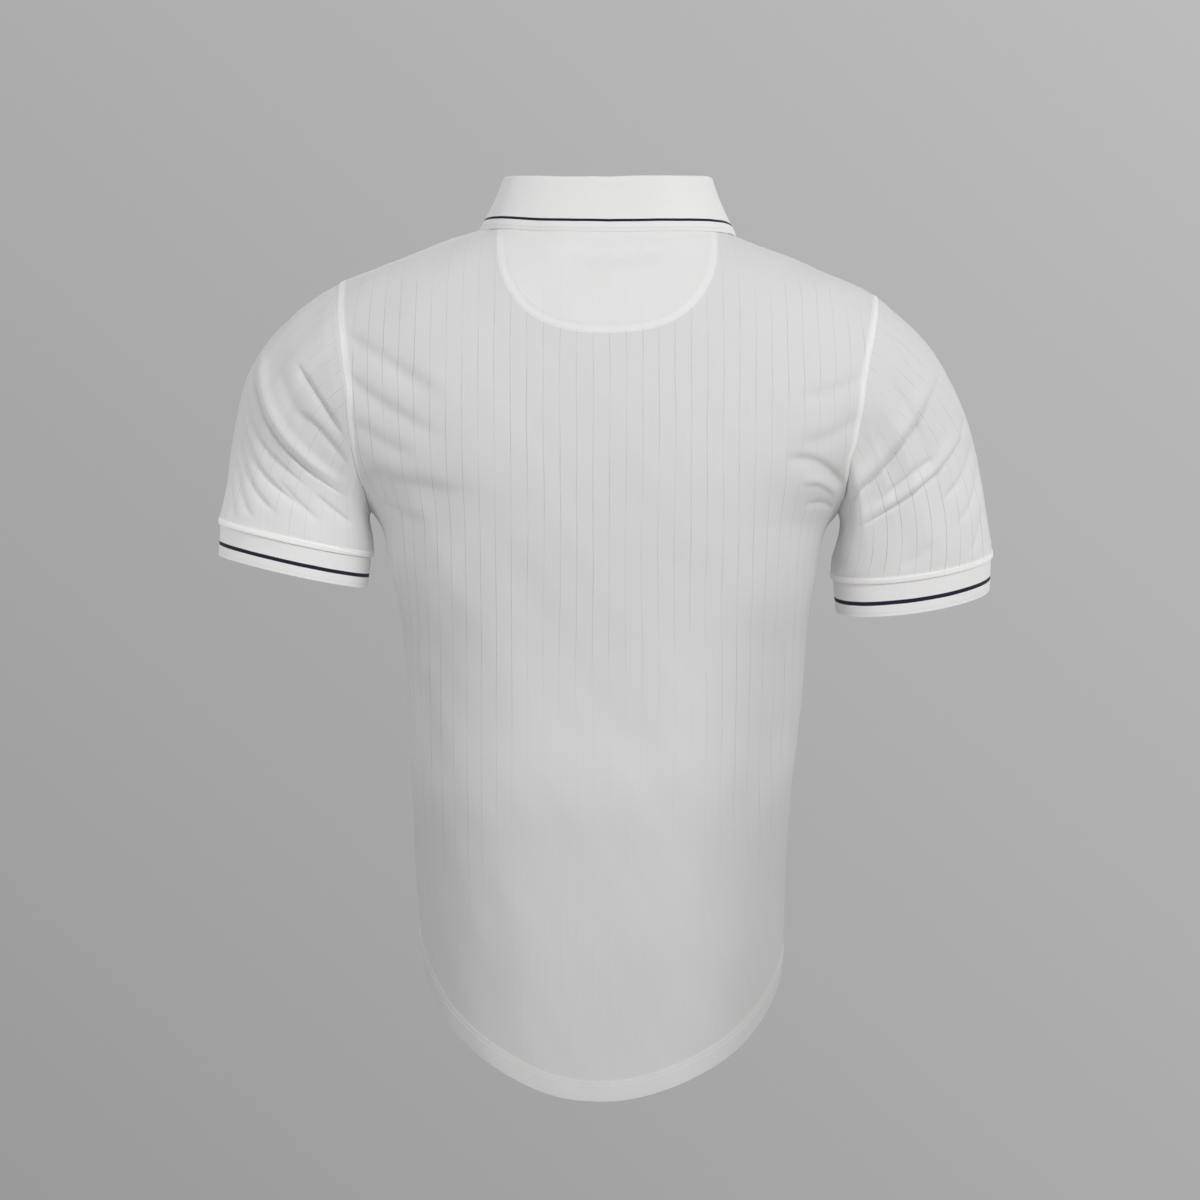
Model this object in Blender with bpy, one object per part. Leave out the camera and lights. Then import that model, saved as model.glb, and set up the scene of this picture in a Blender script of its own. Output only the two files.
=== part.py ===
"""A slim short-sleeved polo shirt in its worn form, with the body and arms left out.

Run it with: blender --background --python part.py

Metres, +Z up. The wearer faces -Y, so the back is on +Y and the wearer's left is on +X.
The origin is the middle of the neck opening, level with the tops of the shoulder seams.
Each panel is a wall: an outer grid of points on the worn shape, and an inner grid one
cloth thickness in. Where two panels are sewn, both walls end on one shared ruled plane,
half a seam gap to each side of it, so neighbours never touch.
"""

import math

import bpy
import numpy as np
from mathutils import Vector

# ---- cloth and seams ----
CLOTH = 0.0014
RIB = 0.0016
FACING = 0.0010
SEAM_GAP = 0.0003
FACING_CLEARANCE = 0.0012
MITRE_MOST = 2.2
SHARP_ANGLE = 50

# ---- the worn shape: rows of tables run from the top down ----
NECK_HALF = 0.085
TIP_HALF = 0.2206
BODY_ROUNDNESS = 2.5
PROBE = 0.0005
LEFT_TIP, RIGHT_TIP = -0.0517, -0.0623
LEFT_TOP, RIGHT_TOP = 0.0, -0.005
LEFT_ARMPIT, RIGHT_ARMPIT = -0.2369, -0.2386

# height, half width of the wearer's left side
LEFT_SIDE = (
    (LEFT_TOP, NECK_HALF), (-0.0085, 0.1100), (-0.0165, 0.1340), (LEFT_TIP, TIP_HALF),
    (-0.0750, 0.2500), (-0.1000, 0.2720), (-0.1300, 0.2820), (-0.1600, 0.2680),
    (-0.2000, 0.2350), (LEFT_ARMPIT, 0.1943), (-0.2526, 0.1845), (-0.2750, 0.1805),
    (-0.3350, 0.1690), (-0.3800, 0.1665), (-0.4170, 0.1650), (-0.5000, 0.1590),
    (-0.5810, 0.1540), (-0.7100, 0.1500),
)
# height, half width of the wearer's right side
RIGHT_SIDE = (
    (RIGHT_TOP, NECK_HALF), (-0.0165, 0.1130), (-0.0300, 0.1455), (RIGHT_TIP, TIP_HALF),
    (-0.0850, 0.2480), (-0.1100, 0.2660), (-0.1350, 0.2700), (-0.1650, 0.2560),
    (-0.2000, 0.2270), (RIGHT_ARMPIT, 0.1871), (-0.2526, 0.1765), (-0.2750, 0.1710),
    (-0.3350, 0.1620), (-0.3800, 0.1582), (-0.4170, 0.1540), (-0.5000, 0.1470),
    (-0.5810, 0.1435), (-0.7100, 0.1380),
)
# height, depth of the shape behind its side seams
BACK_DEPTH = (
    (0.0000, 0.0500), (-0.0180, 0.0600), (-0.0500, 0.0810), (-0.0800, 0.0960),
    (-0.1200, 0.1080), (-0.1600, 0.1150), (-0.2000, 0.1170), (-0.2500, 0.1140),
    (-0.3000, 0.1070), (-0.3600, 0.0990), (-0.4200, 0.0955), (-0.5000, 0.1020),
    (-0.6000, 0.1140), (-0.7100, 0.1170),
)
# height, depth of the shape in front of its side seams
FRONT_DEPTH = (
    (0.0000, 0.0450), (-0.0400, 0.0560), (-0.0800, 0.0680), (-0.1200, 0.0880),
    (-0.1600, 0.1040), (-0.2000, 0.1150), (-0.2500, 0.1190), (-0.3000, 0.1160),
    (-0.3600, 0.1110), (-0.4200, 0.1080), (-0.5000, 0.1090), (-0.6000, 0.1140),
    (-0.7100, 0.1140),
)
# height, distance of the back armhole seam from the middle
LEFT_ARMHOLE = (
    (LEFT_TIP, TIP_HALF), (-0.0800, 0.2190), (-0.1040, 0.2166), (-0.1460, 0.2104),
    (-0.1720, 0.2088), (-0.1990, 0.2047), (-0.2296, 0.1970), (LEFT_ARMPIT, 0.1943),
)
RIGHT_ARMHOLE = (
    (RIGHT_TIP, TIP_HALF), (-0.0850, 0.2160), (-0.1265, 0.2074), (-0.1562, 0.2033),
    (-0.1855, 0.1979), (-0.1997, 0.1935), (-0.2216, 0.1929), (RIGHT_ARMPIT, 0.1871),
)
FRONT_ARMHOLE_SCOOP = 0.010
ARMHOLE_BLEND = 0.75

# ---- neckline and hem ----
BACK_NECK, FRONT_NECK = -0.010, -0.080
# angle from the middle of the panel to the wearer's left side seam, height of the back's hem
BACK_HEM = (
    (-90, -0.6030), (-84, -0.6090), (-66, -0.6390), (-53, -0.6591), (-35, -0.6820),
    (-20, -0.6957), (-7, -0.7040), (3, -0.7060), (18, -0.7015), (31, -0.6880),
    (46, -0.6685), (63, -0.6410), (82, -0.5980), (90, -0.5890),
)
# the same for the front's hem, which is shorter
FRONT_HEM = (
    (-90, -0.6030), (-80, -0.6110), (-50, -0.6470), (-20, -0.6690), (0, -0.6730),
    (20, -0.6690), (50, -0.6420), (80, -0.5970), (90, -0.5890),
)

# ---- placket and buttons ----
NOTCH_HALF = 0.0125
NOTCH_END = -0.225
PLACKET_HALF = 0.0165
PLACKET_TAIL = 0.010
BUTTON_HEIGHTS = (-0.100, -0.150, -0.200)
BUTTON_RADIUS = 0.0055
BUTTON_THICK = 0.0024
BUTTON_HOLE_RADIUS = 0.0009
BUTTON_HOLE_OFFSET = 0.0013
BUTTON_SIDES = 24
BUTTON_HOLE_SIDES = 8

# ---- collar: angle round the neck from the middle of the back, in degrees ----
FOLD_RADIUS = 0.0014
FOLD_TURNS = (150, 90, 30)
COLLAR_CLEARANCE = 0.0024
# angle, fold height, share of the neckline's distance from the axis at the fold
COLLAR_FOLD = (
    (0, 0.0288, 0.97), (45, 0.0302, 0.98), (80, 0.0328, 0.995), (100, 0.0310, 0.990),
    (120, 0.0190, 0.96), (140, -0.0100, 0.93), (160, -0.0420, 0.93), (180, -0.0590, 0.95),
)
# angle, edge distance from the middle plane, edge height, lift off the shape at the edge
COLLAR_EDGE = (
    (0, 0.0000, -0.0145, 0.0070), (30, 0.0480, -0.0135, 0.0062), (60, 0.0900, -0.0095, 0.0035),
    (90, 0.1075, -0.0072, 0.0034), (105, 0.1080, -0.0195, 0.0048), (120, 0.1070, -0.0400, 0.0040),
    (150, 0.0900, -0.0850, 0.0028), (180, 0.0560, -0.1300, 0.0030),
)
COLLAR_BULGE = -0.0012
STAND_LEAN = 0.3
STAND_LEAD = 0.012
LIFT_PASSES = 3
COLLAR_RIGHT_DROP = 0.0040
COLLAR_RIGHT_SCALE = 0.975
COLLAR_RIGHT_FROM = (20, 90)

# ---- half-moon facing ----
MOON_HALF = 0.0892
MOON_MIDDLE = 0.0015
MOON_TOP = -0.012
MOON_BOTTOM = -0.0985
MOON_INSET = 0.004
MOON_CURVE = 0.8
MOON_ROWS = 6

# ---- sleeves and cuffs: wearer's left, then right ----
SLEEVES = {
    "left": dict(sign=1, middle=(0.2573, -0.006, -0.2605), wide=0.0650, deep=0.0480,
                 tilt=12.5, forward=4.6, pull=1.47, cuff_wide=0.0626, cuff_shift=(-0.0029, -0.0002)),
    "right": dict(sign=-1, middle=(-0.2497, -0.018, -0.2825), wide=0.0672, deep=0.0490,
                  tilt=8.0, forward=13.5, pull=1.07, cuff_wide=0.0643, cuff_shift=(0.0027, -0.0022)),
}
CUFF_HEIGHT = 0.0255
CUFF_STEP = 0.0016
CUFF_ROWS = (0, 0.5, 1)
UNDERARM_PULL = 1.05
SLEEVE_LEAD = (0.62, -0.785)
UNDERARM_LEAD = (0.42, -0.907)
UNDERARM_SHARE = (0.08, 0.45)
FOLD_FADE = 0.2

# ---- grids ----
NECK_STEPS, SHOULDER_STEPS = 8, 9
BODY_ROWS, ARMHOLE_ROWS = 12, 13
SLEEVE_ROWS = 15
FOLD_STEPS = 4

# ---- largest folds: how they fade past their ends and towards the side seams, then a row each ----
FOLD_TIP = 0.12
FOLD_SIDE = (0.004, 0.035)
FOLD_COLUMNS = ("face", "x0", "z0", "x1", "z1", "sag", "width", "height")
FOLDS = (
    (1, 0.285, -0.104, 0.200, -0.226, 0.012, 0.013, 0.0050),
    (1, 0.288, -0.140, 0.212, -0.236, 0.012, 0.010, -0.0040),
    (1, 0.215, -0.095, 0.138, -0.144, -0.004, 0.011, -0.0030),
    (1, 0.200, -0.205, 0.112, -0.222, -0.004, 0.014, -0.0040),
    (1, -0.268, -0.128, -0.196, -0.228, 0.010, 0.014, 0.0045),
    (1, -0.285, -0.180, -0.205, -0.246, 0.012, 0.012, -0.0045),
    (1, -0.140, -0.200, -0.190, -0.226, 0.006, 0.012, -0.0045),
    (1, 0.160, -0.372, 0.142, -0.455, 0.004, 0.012, -0.0030),
    (-1, 0.275, -0.112, 0.198, -0.222, 0.012, 0.013, 0.0045),
    (-1, 0.196, -0.205, 0.118, -0.224, -0.004, 0.014, -0.0040),
    (-1, -0.262, -0.135, -0.194, -0.230, 0.012, 0.013, 0.0045),
    (-1, -0.190, -0.208, -0.115, -0.226, -0.004, 0.014, -0.0040),
)

PAINT = {
    "shell": ((0.80, 0.80, 0.79), 0.78),
    "rib": ((0.86, 0.86, 0.85), 0.82),
    "facing": ((0.87, 0.87, 0.86), 0.80),
    "button": ((0.90, 0.89, 0.86), 0.35),
}


# ---------------------------------------------------------------- curves and the worn shape

def through(rows, at, column=1):
    """A smooth curve through one column of a table, without overshoot; flat past its ends."""
    table = np.array(sorted(rows), float)
    knots, values = table[:, 0], table[:, column]
    steps = np.diff(knots)
    slopes = np.diff(values) / steps
    tangents = np.zeros_like(values)
    product = slopes[:-1] * slopes[1:]
    total = slopes[:-1] + slopes[1:]
    tangents[1:-1] = np.where(product > 0, 2 * product / np.where(total == 0, 1, total), 0)
    tangents[0], tangents[-1] = slopes[0], slopes[-1]
    at = np.clip(np.asarray(at, float), knots[0], knots[-1])
    i = np.clip(np.searchsorted(knots, at, side="right") - 1, 0, len(steps) - 1)
    t = (at - knots[i]) / steps[i]
    rise = values[i] * (2 * t**3 - 3 * t**2 + 1) + values[i + 1] * (3 * t**2 - 2 * t**3)
    lean = tangents[i] * (t**3 - 2 * t**2 + t) + tangents[i + 1] * (t**3 - t**2)
    return rise + lean * steps[i]


def eased(value, low, high):
    t = np.clip((value - low) / (high - low), 0, 1)
    return t * t * (3 - 2 * t)


def unit(vectors):
    length = np.linalg.norm(vectors, axis=-1, keepdims=True)
    return vectors / np.maximum(length, 1e-12)


def half_width(x, z):
    return np.where(x >= 0, through(LEFT_SIDE, z), through(RIGHT_SIDE, z))


def depth(z, face):
    return through(BACK_DEPTH if face > 0 else FRONT_DEPTH, z)


def on_body(x, z, face):
    """Points of the worn shape at (x, z), behind or in front, and their outward normals."""
    x, z = np.broadcast_arrays(np.asarray(x, float), np.asarray(z, float))
    half, deep = half_width(x, z), depth(z, face)
    half_slope = (half_width(x, z + PROBE) - half_width(x, z - PROBE)) / (2 * PROBE)
    deep_slope = (depth(z + PROBE, face) - depth(z - PROBE, face)) / (2 * PROBE)
    share = np.clip(np.abs(x) / half, 0, 1)
    rest = np.sqrt(1 - share**BODY_ROUNDNESS)
    points = np.stack([x, face * deep * rest, z], -1)
    slope_x = BODY_ROUNDNESS * share ** (BODY_ROUNDNESS - 1) / half * np.sign(x)
    slope_z = -BODY_ROUNDNESS * share**BODY_ROUNDNESS * half_slope / half
    slope_z = slope_z - 2 * rest**2 * deep_slope / deep
    normals = np.stack([slope_x, 2 * face * rest / deep, slope_z], -1)
    return points, unit(normals)


def fold_height(points):
    """How far the largest folds raise or sink the cloth at each point."""
    x, y, z = points[..., 0], points[..., 1], points[..., 2]
    total = np.zeros(x.shape)
    for row in FOLDS:
        fold = dict(zip(FOLD_COLUMNS, row))
        run_x, run_z = fold["x1"] - fold["x0"], fold["z1"] - fold["z0"]
        length = math.hypot(run_x, run_z)
        along = ((x - fold["x0"]) * run_x + (z - fold["z0"]) * run_z) / length**2
        across = ((x - fold["x0"]) * run_z - (z - fold["z0"]) * run_x) / length
        across = across * np.sign(run_z * fold["x0"]) - fold["sag"] * 4 * along * (1 - along)
        ends = eased(along, -FOLD_TIP, FOLD_FADE) * (1 - eased(along, 1 - FOLD_FADE, 1 + FOLD_TIP))
        side = eased(fold["face"] * y, *FOLD_SIDE)
        total += fold["height"] * ends * side * np.exp(-((across / fold["width"]) ** 2))
    return total


def mitre(normal_a, normal_b):
    """The way from an outer seam point to the inner one, per unit of thickness, for two walls."""
    both = normal_a + normal_b
    wanted = 1 + np.sum(normal_a * normal_b, -1, keepdims=True)
    length = np.linalg.norm(both, axis=-1, keepdims=True) / np.maximum(wanted, 1e-6)
    return unit(both) * np.minimum(length, MITRE_MOST)


# ---------------------------------------------------------------- panels

def neck_angles(face):
    """Angles of the neckline's columns from the middle of that side to the shoulder seam."""
    first = math.degrees(math.asin(NOTCH_HALF / NECK_HALF))
    if face > 0:
        return np.linspace(0, 90, NECK_STEPS + 1)
    return np.concatenate([[0], np.linspace(first, 90, NECK_STEPS)])


def neck_height(angles, sign, face):
    top = LEFT_TOP if sign > 0 else RIGHT_TOP
    low = BACK_NECK if face > 0 else FRONT_NECK
    return low + (top - low) * (1 - np.cos(np.radians(angles)))


def panel_half(sign, face):
    """Grid of (x, z) for one side of the front or back: rows from hem to top, columns from the middle out."""
    angles = neck_angles(face)
    top, tip = (LEFT_TOP, LEFT_TIP) if sign > 0 else (RIGHT_TOP, RIGHT_TIP)
    armpit = LEFT_ARMPIT if sign > 0 else RIGHT_ARMPIT
    shoulder_z = np.linspace(top, tip, SHOULDER_STEPS + 1)[1:]
    shoulder_x = half_width(np.full(SHOULDER_STEPS, float(sign)), shoulder_z)
    top_x = np.concatenate([NECK_HALF * np.sin(np.radians(angles)), shoulder_x])
    top_z = np.concatenate([neck_height(angles, sign, face), shoulder_z])
    columns = len(top_x)
    turn = np.linspace(0, math.pi / 2, columns)
    bottom = through(BACK_HEM if face > 0 else FRONT_HEM, np.degrees(turn) * sign)
    middle_pit = (LEFT_ARMPIT + RIGHT_ARMPIT) / 2
    pit = middle_pit + (armpit - middle_pit) * np.sin(turn)
    low = np.linspace(0, 1, BODY_ROWS + 1)[:-1, None]
    high = (1 - np.cos(np.linspace(0, math.pi, ARMHOLE_ROWS + 1)))[:, None] / 2
    z = np.concatenate([bottom + (pit - bottom) * low, pit + (top_z - pit) * high])
    rise = np.concatenate([np.zeros(BODY_ROWS), high[:, 0]])[:, None]
    edge = through(LEFT_ARMHOLE if sign > 0 else RIGHT_ARMHOLE, z)
    if face < 0:
        edge = edge - FRONT_ARMHOLE_SCOOP * np.sin(math.pi * rise) ** 2
    edge = np.where(rise > 0, edge, half_width(np.full(z.shape, float(sign)), z))
    blend = eased(rise, 0, ARMHOLE_BLEND)
    x = edge * (blend * top_x / TIP_HALF + (1 - blend) * np.sin(turn))
    if face < 0:
        x[:, 1] = NOTCH_HALF
    x[-1] = top_x
    return sign * x, z


def panel_grid(face):
    """The whole front or back: its outer points and normals, columns from -X to +X."""
    right, left = panel_half(-1, face), panel_half(1, face)
    x = np.concatenate([right[0][:, :0:-1], left[0]], 1)
    z = np.concatenate([right[1][:, :0:-1], left[1]], 1)
    points, normals = on_body(x, z, face)
    points += normals * fold_height(points)[..., None]
    return points, normals


def armhole_ring(sign):
    """Points round an armhole from the shoulder tip down the back, and up the front."""
    rings = []
    for face in (1, -1):
        points, normals = panel_grid(face)
        column = -1 if sign > 0 else 0
        rows = slice(BODY_ROWS, None)
        rings.append((points[rows, column], normals[rows, column]))
    back, front = rings
    points = np.concatenate([back[0][::-1], front[0][1:-1]])
    normals = np.concatenate([back[1][::-1], front[1][1:-1]])
    points[0, 1] = points[ARMHOLE_ROWS, 1] = 0
    return points, normals


def ring_shift(points, across):
    """Unit vectors at right angles to a closed seam line and to its mitre, towards the sleeve."""
    line = np.roll(points, -1, 0) - np.roll(points, 1, 0)
    return unit(np.cross(line, across))


def sleeve_seam(sign):
    """The armhole seam that panel and sleeve share: points, mitre and the way towards the sleeve."""
    points, body_normals = armhole_ring(sign)
    sleeve_normals = sleeve_grid(sign, points, body_normals)[1][0]
    across = mitre(body_normals, sleeve_normals)
    for row in (0, ARMHOLE_ROWS):
        across[row, 1] = 0
    toward = ring_shift(points, across)
    toward *= np.sign(np.sum(toward[:, :1] * sign, -1, keepdims=True).mean())
    return points, across, toward


def ring_share(points):
    """Share of the way round the armhole, 0 at the shoulder tip and 1 at the underarm, signed by side."""
    step = np.linalg.norm(np.roll(points, -1, 0) - points, axis=1)
    run = np.concatenate([[0], np.cumsum(step)])
    half = run[ARMHOLE_ROWS]
    down = run[:ARMHOLE_ROWS + 1] / half
    up = (run[-1] - run[ARMHOLE_ROWS + 1:-1]) / (run[-1] - half)
    return np.concatenate([down, -up])


def end_ring(sign, share, wide, deep, shift=(0, 0), down=0.0):
    """A tilted oval round the arm, its points in step with the armhole's, and its axis."""
    sleeve = SLEEVES["left" if sign > 0 else "right"]
    tilt, forward = math.radians(sleeve["tilt"]), math.radians(sleeve["forward"])
    out = np.array([sign * math.cos(tilt), 0, math.sin(tilt)])
    behind = np.array([0, math.cos(forward), -math.sin(forward)])
    axis = unit(np.cross(out, behind) * sign)
    if axis[2] > 0:
        axis = -axis
    middle = np.array(sleeve["middle"]) + axis * down + np.array([shift[0], 0, shift[1]])
    turn = math.pi * share[:, None]
    points = middle + out * wide * np.cos(turn) + behind * deep * np.sin(turn)
    normals = unit(out * deep * np.cos(turn) + behind * wide * np.sin(turn))
    return points, normals, axis


def sleeve_grid(sign, start, body_normals):
    """A sleeve as a loft from the armhole to its tilted oval end: points and normals by row."""
    sleeve = SLEEVES["left" if sign > 0 else "right"]
    share = ring_share(start)
    end, end_normals, axis = end_ring(sign, share, sleeve["wide"], sleeve["deep"])
    lead = np.array([sign * SLEEVE_LEAD[0], 0, SLEEVE_LEAD[1]])
    flat = lead - body_normals * (body_normals @ lead)[:, None]
    under = np.array([sign * UNDERARM_LEAD[0], 0, UNDERARM_LEAD[1]])
    cap = eased(1 - np.abs(share), *UNDERARM_SHARE)[:, None]
    begin = unit(unit(flat) * cap + under * (1 - cap))
    reach = np.linalg.norm(end - start, axis=1, keepdims=True)
    pull = reach * (UNDERARM_PULL + (sleeve["pull"] - UNDERARM_PULL) * cap)
    t = np.linspace(0, 1, SLEEVE_ROWS + 1)[:, None, None]
    points = (
        start * (2 * t**3 - 3 * t**2 + 1) + end * (3 * t**2 - 2 * t**3)
        + begin * pull * (t**3 - 2 * t**2 + t) + axis * pull * (t**3 - t**2)
    )
    along = np.gradient(points, axis=0)
    around = np.roll(points, -1, 1) - np.roll(points, 1, 1)
    normals = unit(np.cross(around, along))
    away = np.sum((points - points.mean(1, keepdims=True)) * normals)
    normals = normals * np.sign(away)
    normals[-1] = end_normals
    swell = fold_height(points) * (1 - t[:, :, 0] ** 6) * eased(t[:, :, 0], 0, FOLD_FADE)
    return points + normals * swell[..., None], normals


# ---------------------------------------------------------------- solids

def paint(name, kind):
    colour, rough = PAINT[kind]
    material = bpy.data.materials.new(name)
    material.use_nodes = True
    shader = material.node_tree.nodes["Principled BSDF"]
    shader.inputs["Base Color"].default_value = (*colour, 1)
    shader.inputs["Roughness"].default_value = rough
    shader.inputs["Metallic"].default_value = 0
    material.diffuse_color = (*colour, 1)
    return material


def add_mesh(name, points, faces, kind, collection):
    mesh = bpy.data.meshes.new(name)
    mesh.from_pydata([tuple(p) for p in points], [], [tuple(f) for f in faces])
    mesh.update()
    mesh.materials.append(paint(name, kind))
    mesh.shade_smooth()
    mesh.set_sharp_from_angle(angle=math.radians(SHARP_ANGLE))
    shape = bpy.data.objects.new(name, mesh)
    collection.objects.link(shape)
    return shape


def rim_faces(points, edges, count):
    """Triangles between the outer and inner edge. Both walls of a seam split each step the same way."""
    rank = points @ np.array([0.11, 0.37, 1.0])
    faces = []
    for p, q in edges:
        if rank[p] > rank[q]:
            faces += [(q, p, q + count), (p, p + count, q + count)]
        else:
            faces += [(q, p, p + count), (q, p + count, q + count)]
    return faces


def wall(name, outer, inner, kind, collection, closed=False, keep=None):
    """A closed wall between two grids of points, with a rim round every open edge."""
    rows, columns = outer.shape[:2]
    count = rows * columns
    index = np.arange(count).reshape(rows, columns)
    if closed:
        index = np.concatenate([index, index[:, :1]], 1)
    corners = np.stack([index[:-1, :-1], index[:-1, 1:], index[1:, 1:], index[1:, :-1]], -1)
    if keep is not None:
        corners = corners[keep]
    corners = corners.reshape(-1, 4)
    skin = np.concatenate([corners[:, [0, 1, 2]], corners[:, [0, 2, 3]]])
    ends = np.concatenate([skin[:, [0, 1]], skin[:, [1, 2]], skin[:, [2, 0]]])
    known = set(map(tuple, ends.tolist()))
    edges = [(p, q) for p, q in known if (q, p) not in known]
    points = np.concatenate([outer.reshape(-1, 3), inner.reshape(-1, 3)])
    faces = np.concatenate([
        skin, skin[:, ::-1] + count, np.array(rim_faces(points, sorted(edges), count)),
    ])
    used, faces = np.unique(faces, return_inverse=True)
    points, faces = points[used], faces.reshape(-1, 3)
    a, b, c = points[faces[:, 0]], points[faces[:, 1]], points[faces[:, 2]]
    if np.sum(a * np.cross(b, c)) < 0:
        faces = faces[:, ::-1]
    return add_mesh(name, points, faces, kind, collection)


def stand_lead(points, normals, line):
    """The way in which the collar's stand leaves the neckline."""
    up = unit(np.cross(line, normals))
    up *= np.sign(up[:, 2:3])
    return unit(STAND_LEAN * up + (1 - STAND_LEAN) * np.array([0, 0, 1.0]))


def neckline(face):
    """Points, cloth normals and mitres of one side's neckline, columns from -X to +X."""
    points, normals = panel_grid(face)
    span = slice(SHOULDER_STEPS, -SHOULDER_STEPS)
    points, normals = points[-1, span], normals[-1, span]
    line = np.gradient(points, axis=0)
    lead = stand_lead(points, normals, line)
    stand = unit(np.cross(lead, line))
    stand *= np.sign(np.sum(stand * normals, -1, keepdims=True))
    stand[0, 1] = stand[-1, 1] = 0
    return points, normals, mitre(normals, unit(stand)), lead


def build_panel(name, face, collection):
    """The front or back, with mitred edges at the armholes and the neckline."""
    points, normals = panel_grid(face)
    across = normals.copy()
    nudge = np.zeros_like(points)
    nudge[:, [0, -1], 1] = face * SEAM_GAP / 2
    nudge[-1, :SHOULDER_STEPS + 1, 1] = nudge[-1, -SHOULDER_STEPS - 1:, 1] = face * SEAM_GAP / 2
    across[:, [0, -1], 1] *= (np.arange(len(points)) > BODY_ROWS)[:, None]
    for sign, column in ((1, -1), (-1, 0)):
        seam, turn, toward = sleeve_seam(sign)
        if face > 0:
            rows = np.arange(ARMHOLE_ROWS, -1, -1)
        else:
            rows = np.concatenate([np.arange(ARMHOLE_ROWS, 2 * ARMHOLE_ROWS), [0]])
        across[BODY_ROWS:, column] = turn[rows]
        nudge[BODY_ROWS:, column] -= toward[rows] * SEAM_GAP / 2
    span = slice(SHOULDER_STEPS, -SHOULDER_STEPS)
    across[-1, span] = neckline(face)[2]
    outer = points + nudge
    keep = None
    if face < 0:
        keep = notch_cells(points)
    return wall(name, outer, outer - across * CLOTH, "shell", collection, keep=keep)


def notch_rows(points):
    """First row of the placket's notch, counted from the hem."""
    middle = points.shape[1] // 2
    return int(np.argmin(np.abs(points[:, middle, 2] - NOTCH_END)))


def notch_cells(points):
    keep = np.ones((points.shape[0] - 1, points.shape[1] - 1), bool)
    middle = points.shape[1] // 2
    keep[notch_rows(points):, middle - 1:middle + 1] = False
    return keep


def build_sleeve(name, sign, collection):
    points, body_normals = armhole_ring(sign)
    grid, normals = sleeve_grid(sign, points, body_normals)
    seam, across, toward = sleeve_seam(sign)
    inward = normals.copy()
    inward[0] = across
    outer = grid.copy()
    outer[0] = seam + toward * SEAM_GAP / 2
    return wall(name, outer, outer - inward * CLOTH, "shell", collection, closed=True)


def build_cuff(name, sign, collection):
    """A short oval band just below the sleeve's end."""
    sleeve = SLEEVES["left" if sign > 0 else "right"]
    share = ring_share(armhole_ring(sign)[0])
    rings = []
    for t in CUFF_ROWS:
        wide = sleeve["wide"] - CUFF_STEP + (sleeve["cuff_wide"] - sleeve["wide"] + CUFF_STEP) * t
        deep = sleeve["deep"] - CUFF_STEP
        shift = tuple(t * value for value in sleeve["cuff_shift"])
        rings.append(end_ring(sign, share, wide, deep, shift, SEAM_GAP + CUFF_HEIGHT * t))
    outer = np.stack([ring[0] for ring in rings])
    inner = np.stack([ring[0] - ring[1] * RIB for ring in rings])
    return wall(name, outer, inner, "rib", collection, closed=True)


# ---------------------------------------------------------------- collar

def lifted(points, clearance):
    """Points of the collar moved out until they are this far off the worn shape."""
    points = points.copy()
    for _ in range(LIFT_PASSES):
        for face in (1, -1):
            mine = (points[..., 1] >= 0) == (face > 0)
            x, y, z = points[..., 0], points[..., 1], np.minimum(points[..., 2], 0)
            half, deep = half_width(x, z), depth(z, face)
            level = (np.abs(x) / half) ** BODY_ROUNDNESS + (y / deep) ** 2 - 1
            slope_x = BODY_ROUNDNESS * (np.abs(x) / half) ** (BODY_ROUNDNESS - 1) / half * np.sign(x)
            lower = (np.abs(x) / half_width(x, z - PROBE)) ** BODY_ROUNDNESS
            lower = lower + (y / depth(z - PROBE, face)) ** 2 - 1
            slope = np.stack([slope_x, 2 * y / deep**2, (level - lower) / PROBE], -1)
            size = np.linalg.norm(slope, axis=-1)
            gap = level / size + np.maximum(points[..., 2], 0)
            move = np.maximum(clearance - gap, 0) * mine
            points += slope / size[..., None] * move[..., None]
    return points


def collar_stations():
    """The neckline's seam points from the right front end round the back to the left front end."""
    back, front = neckline(1), neckline(-1)
    angle_back, angle_front = neck_angles(1), neck_angles(-1)
    order_front_left = np.arange(front[0].shape[0] - 2, NECK_STEPS, -1)
    order_front_right = np.arange(NECK_STEPS - 1, 0, -1)
    points = np.concatenate([front[0][order_front_right], back[0], front[0][order_front_left]])
    turns = np.concatenate([front[2][order_front_right], back[2], front[2][order_front_left]])
    leads = np.concatenate([front[3][order_front_right], back[3], front[3][order_front_left]])
    side = 180 - angle_front[1:-1]
    angles = np.concatenate([-side, -angle_back[:0:-1], angle_back, side[::-1]])
    return points, turns, leads, angles


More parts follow.
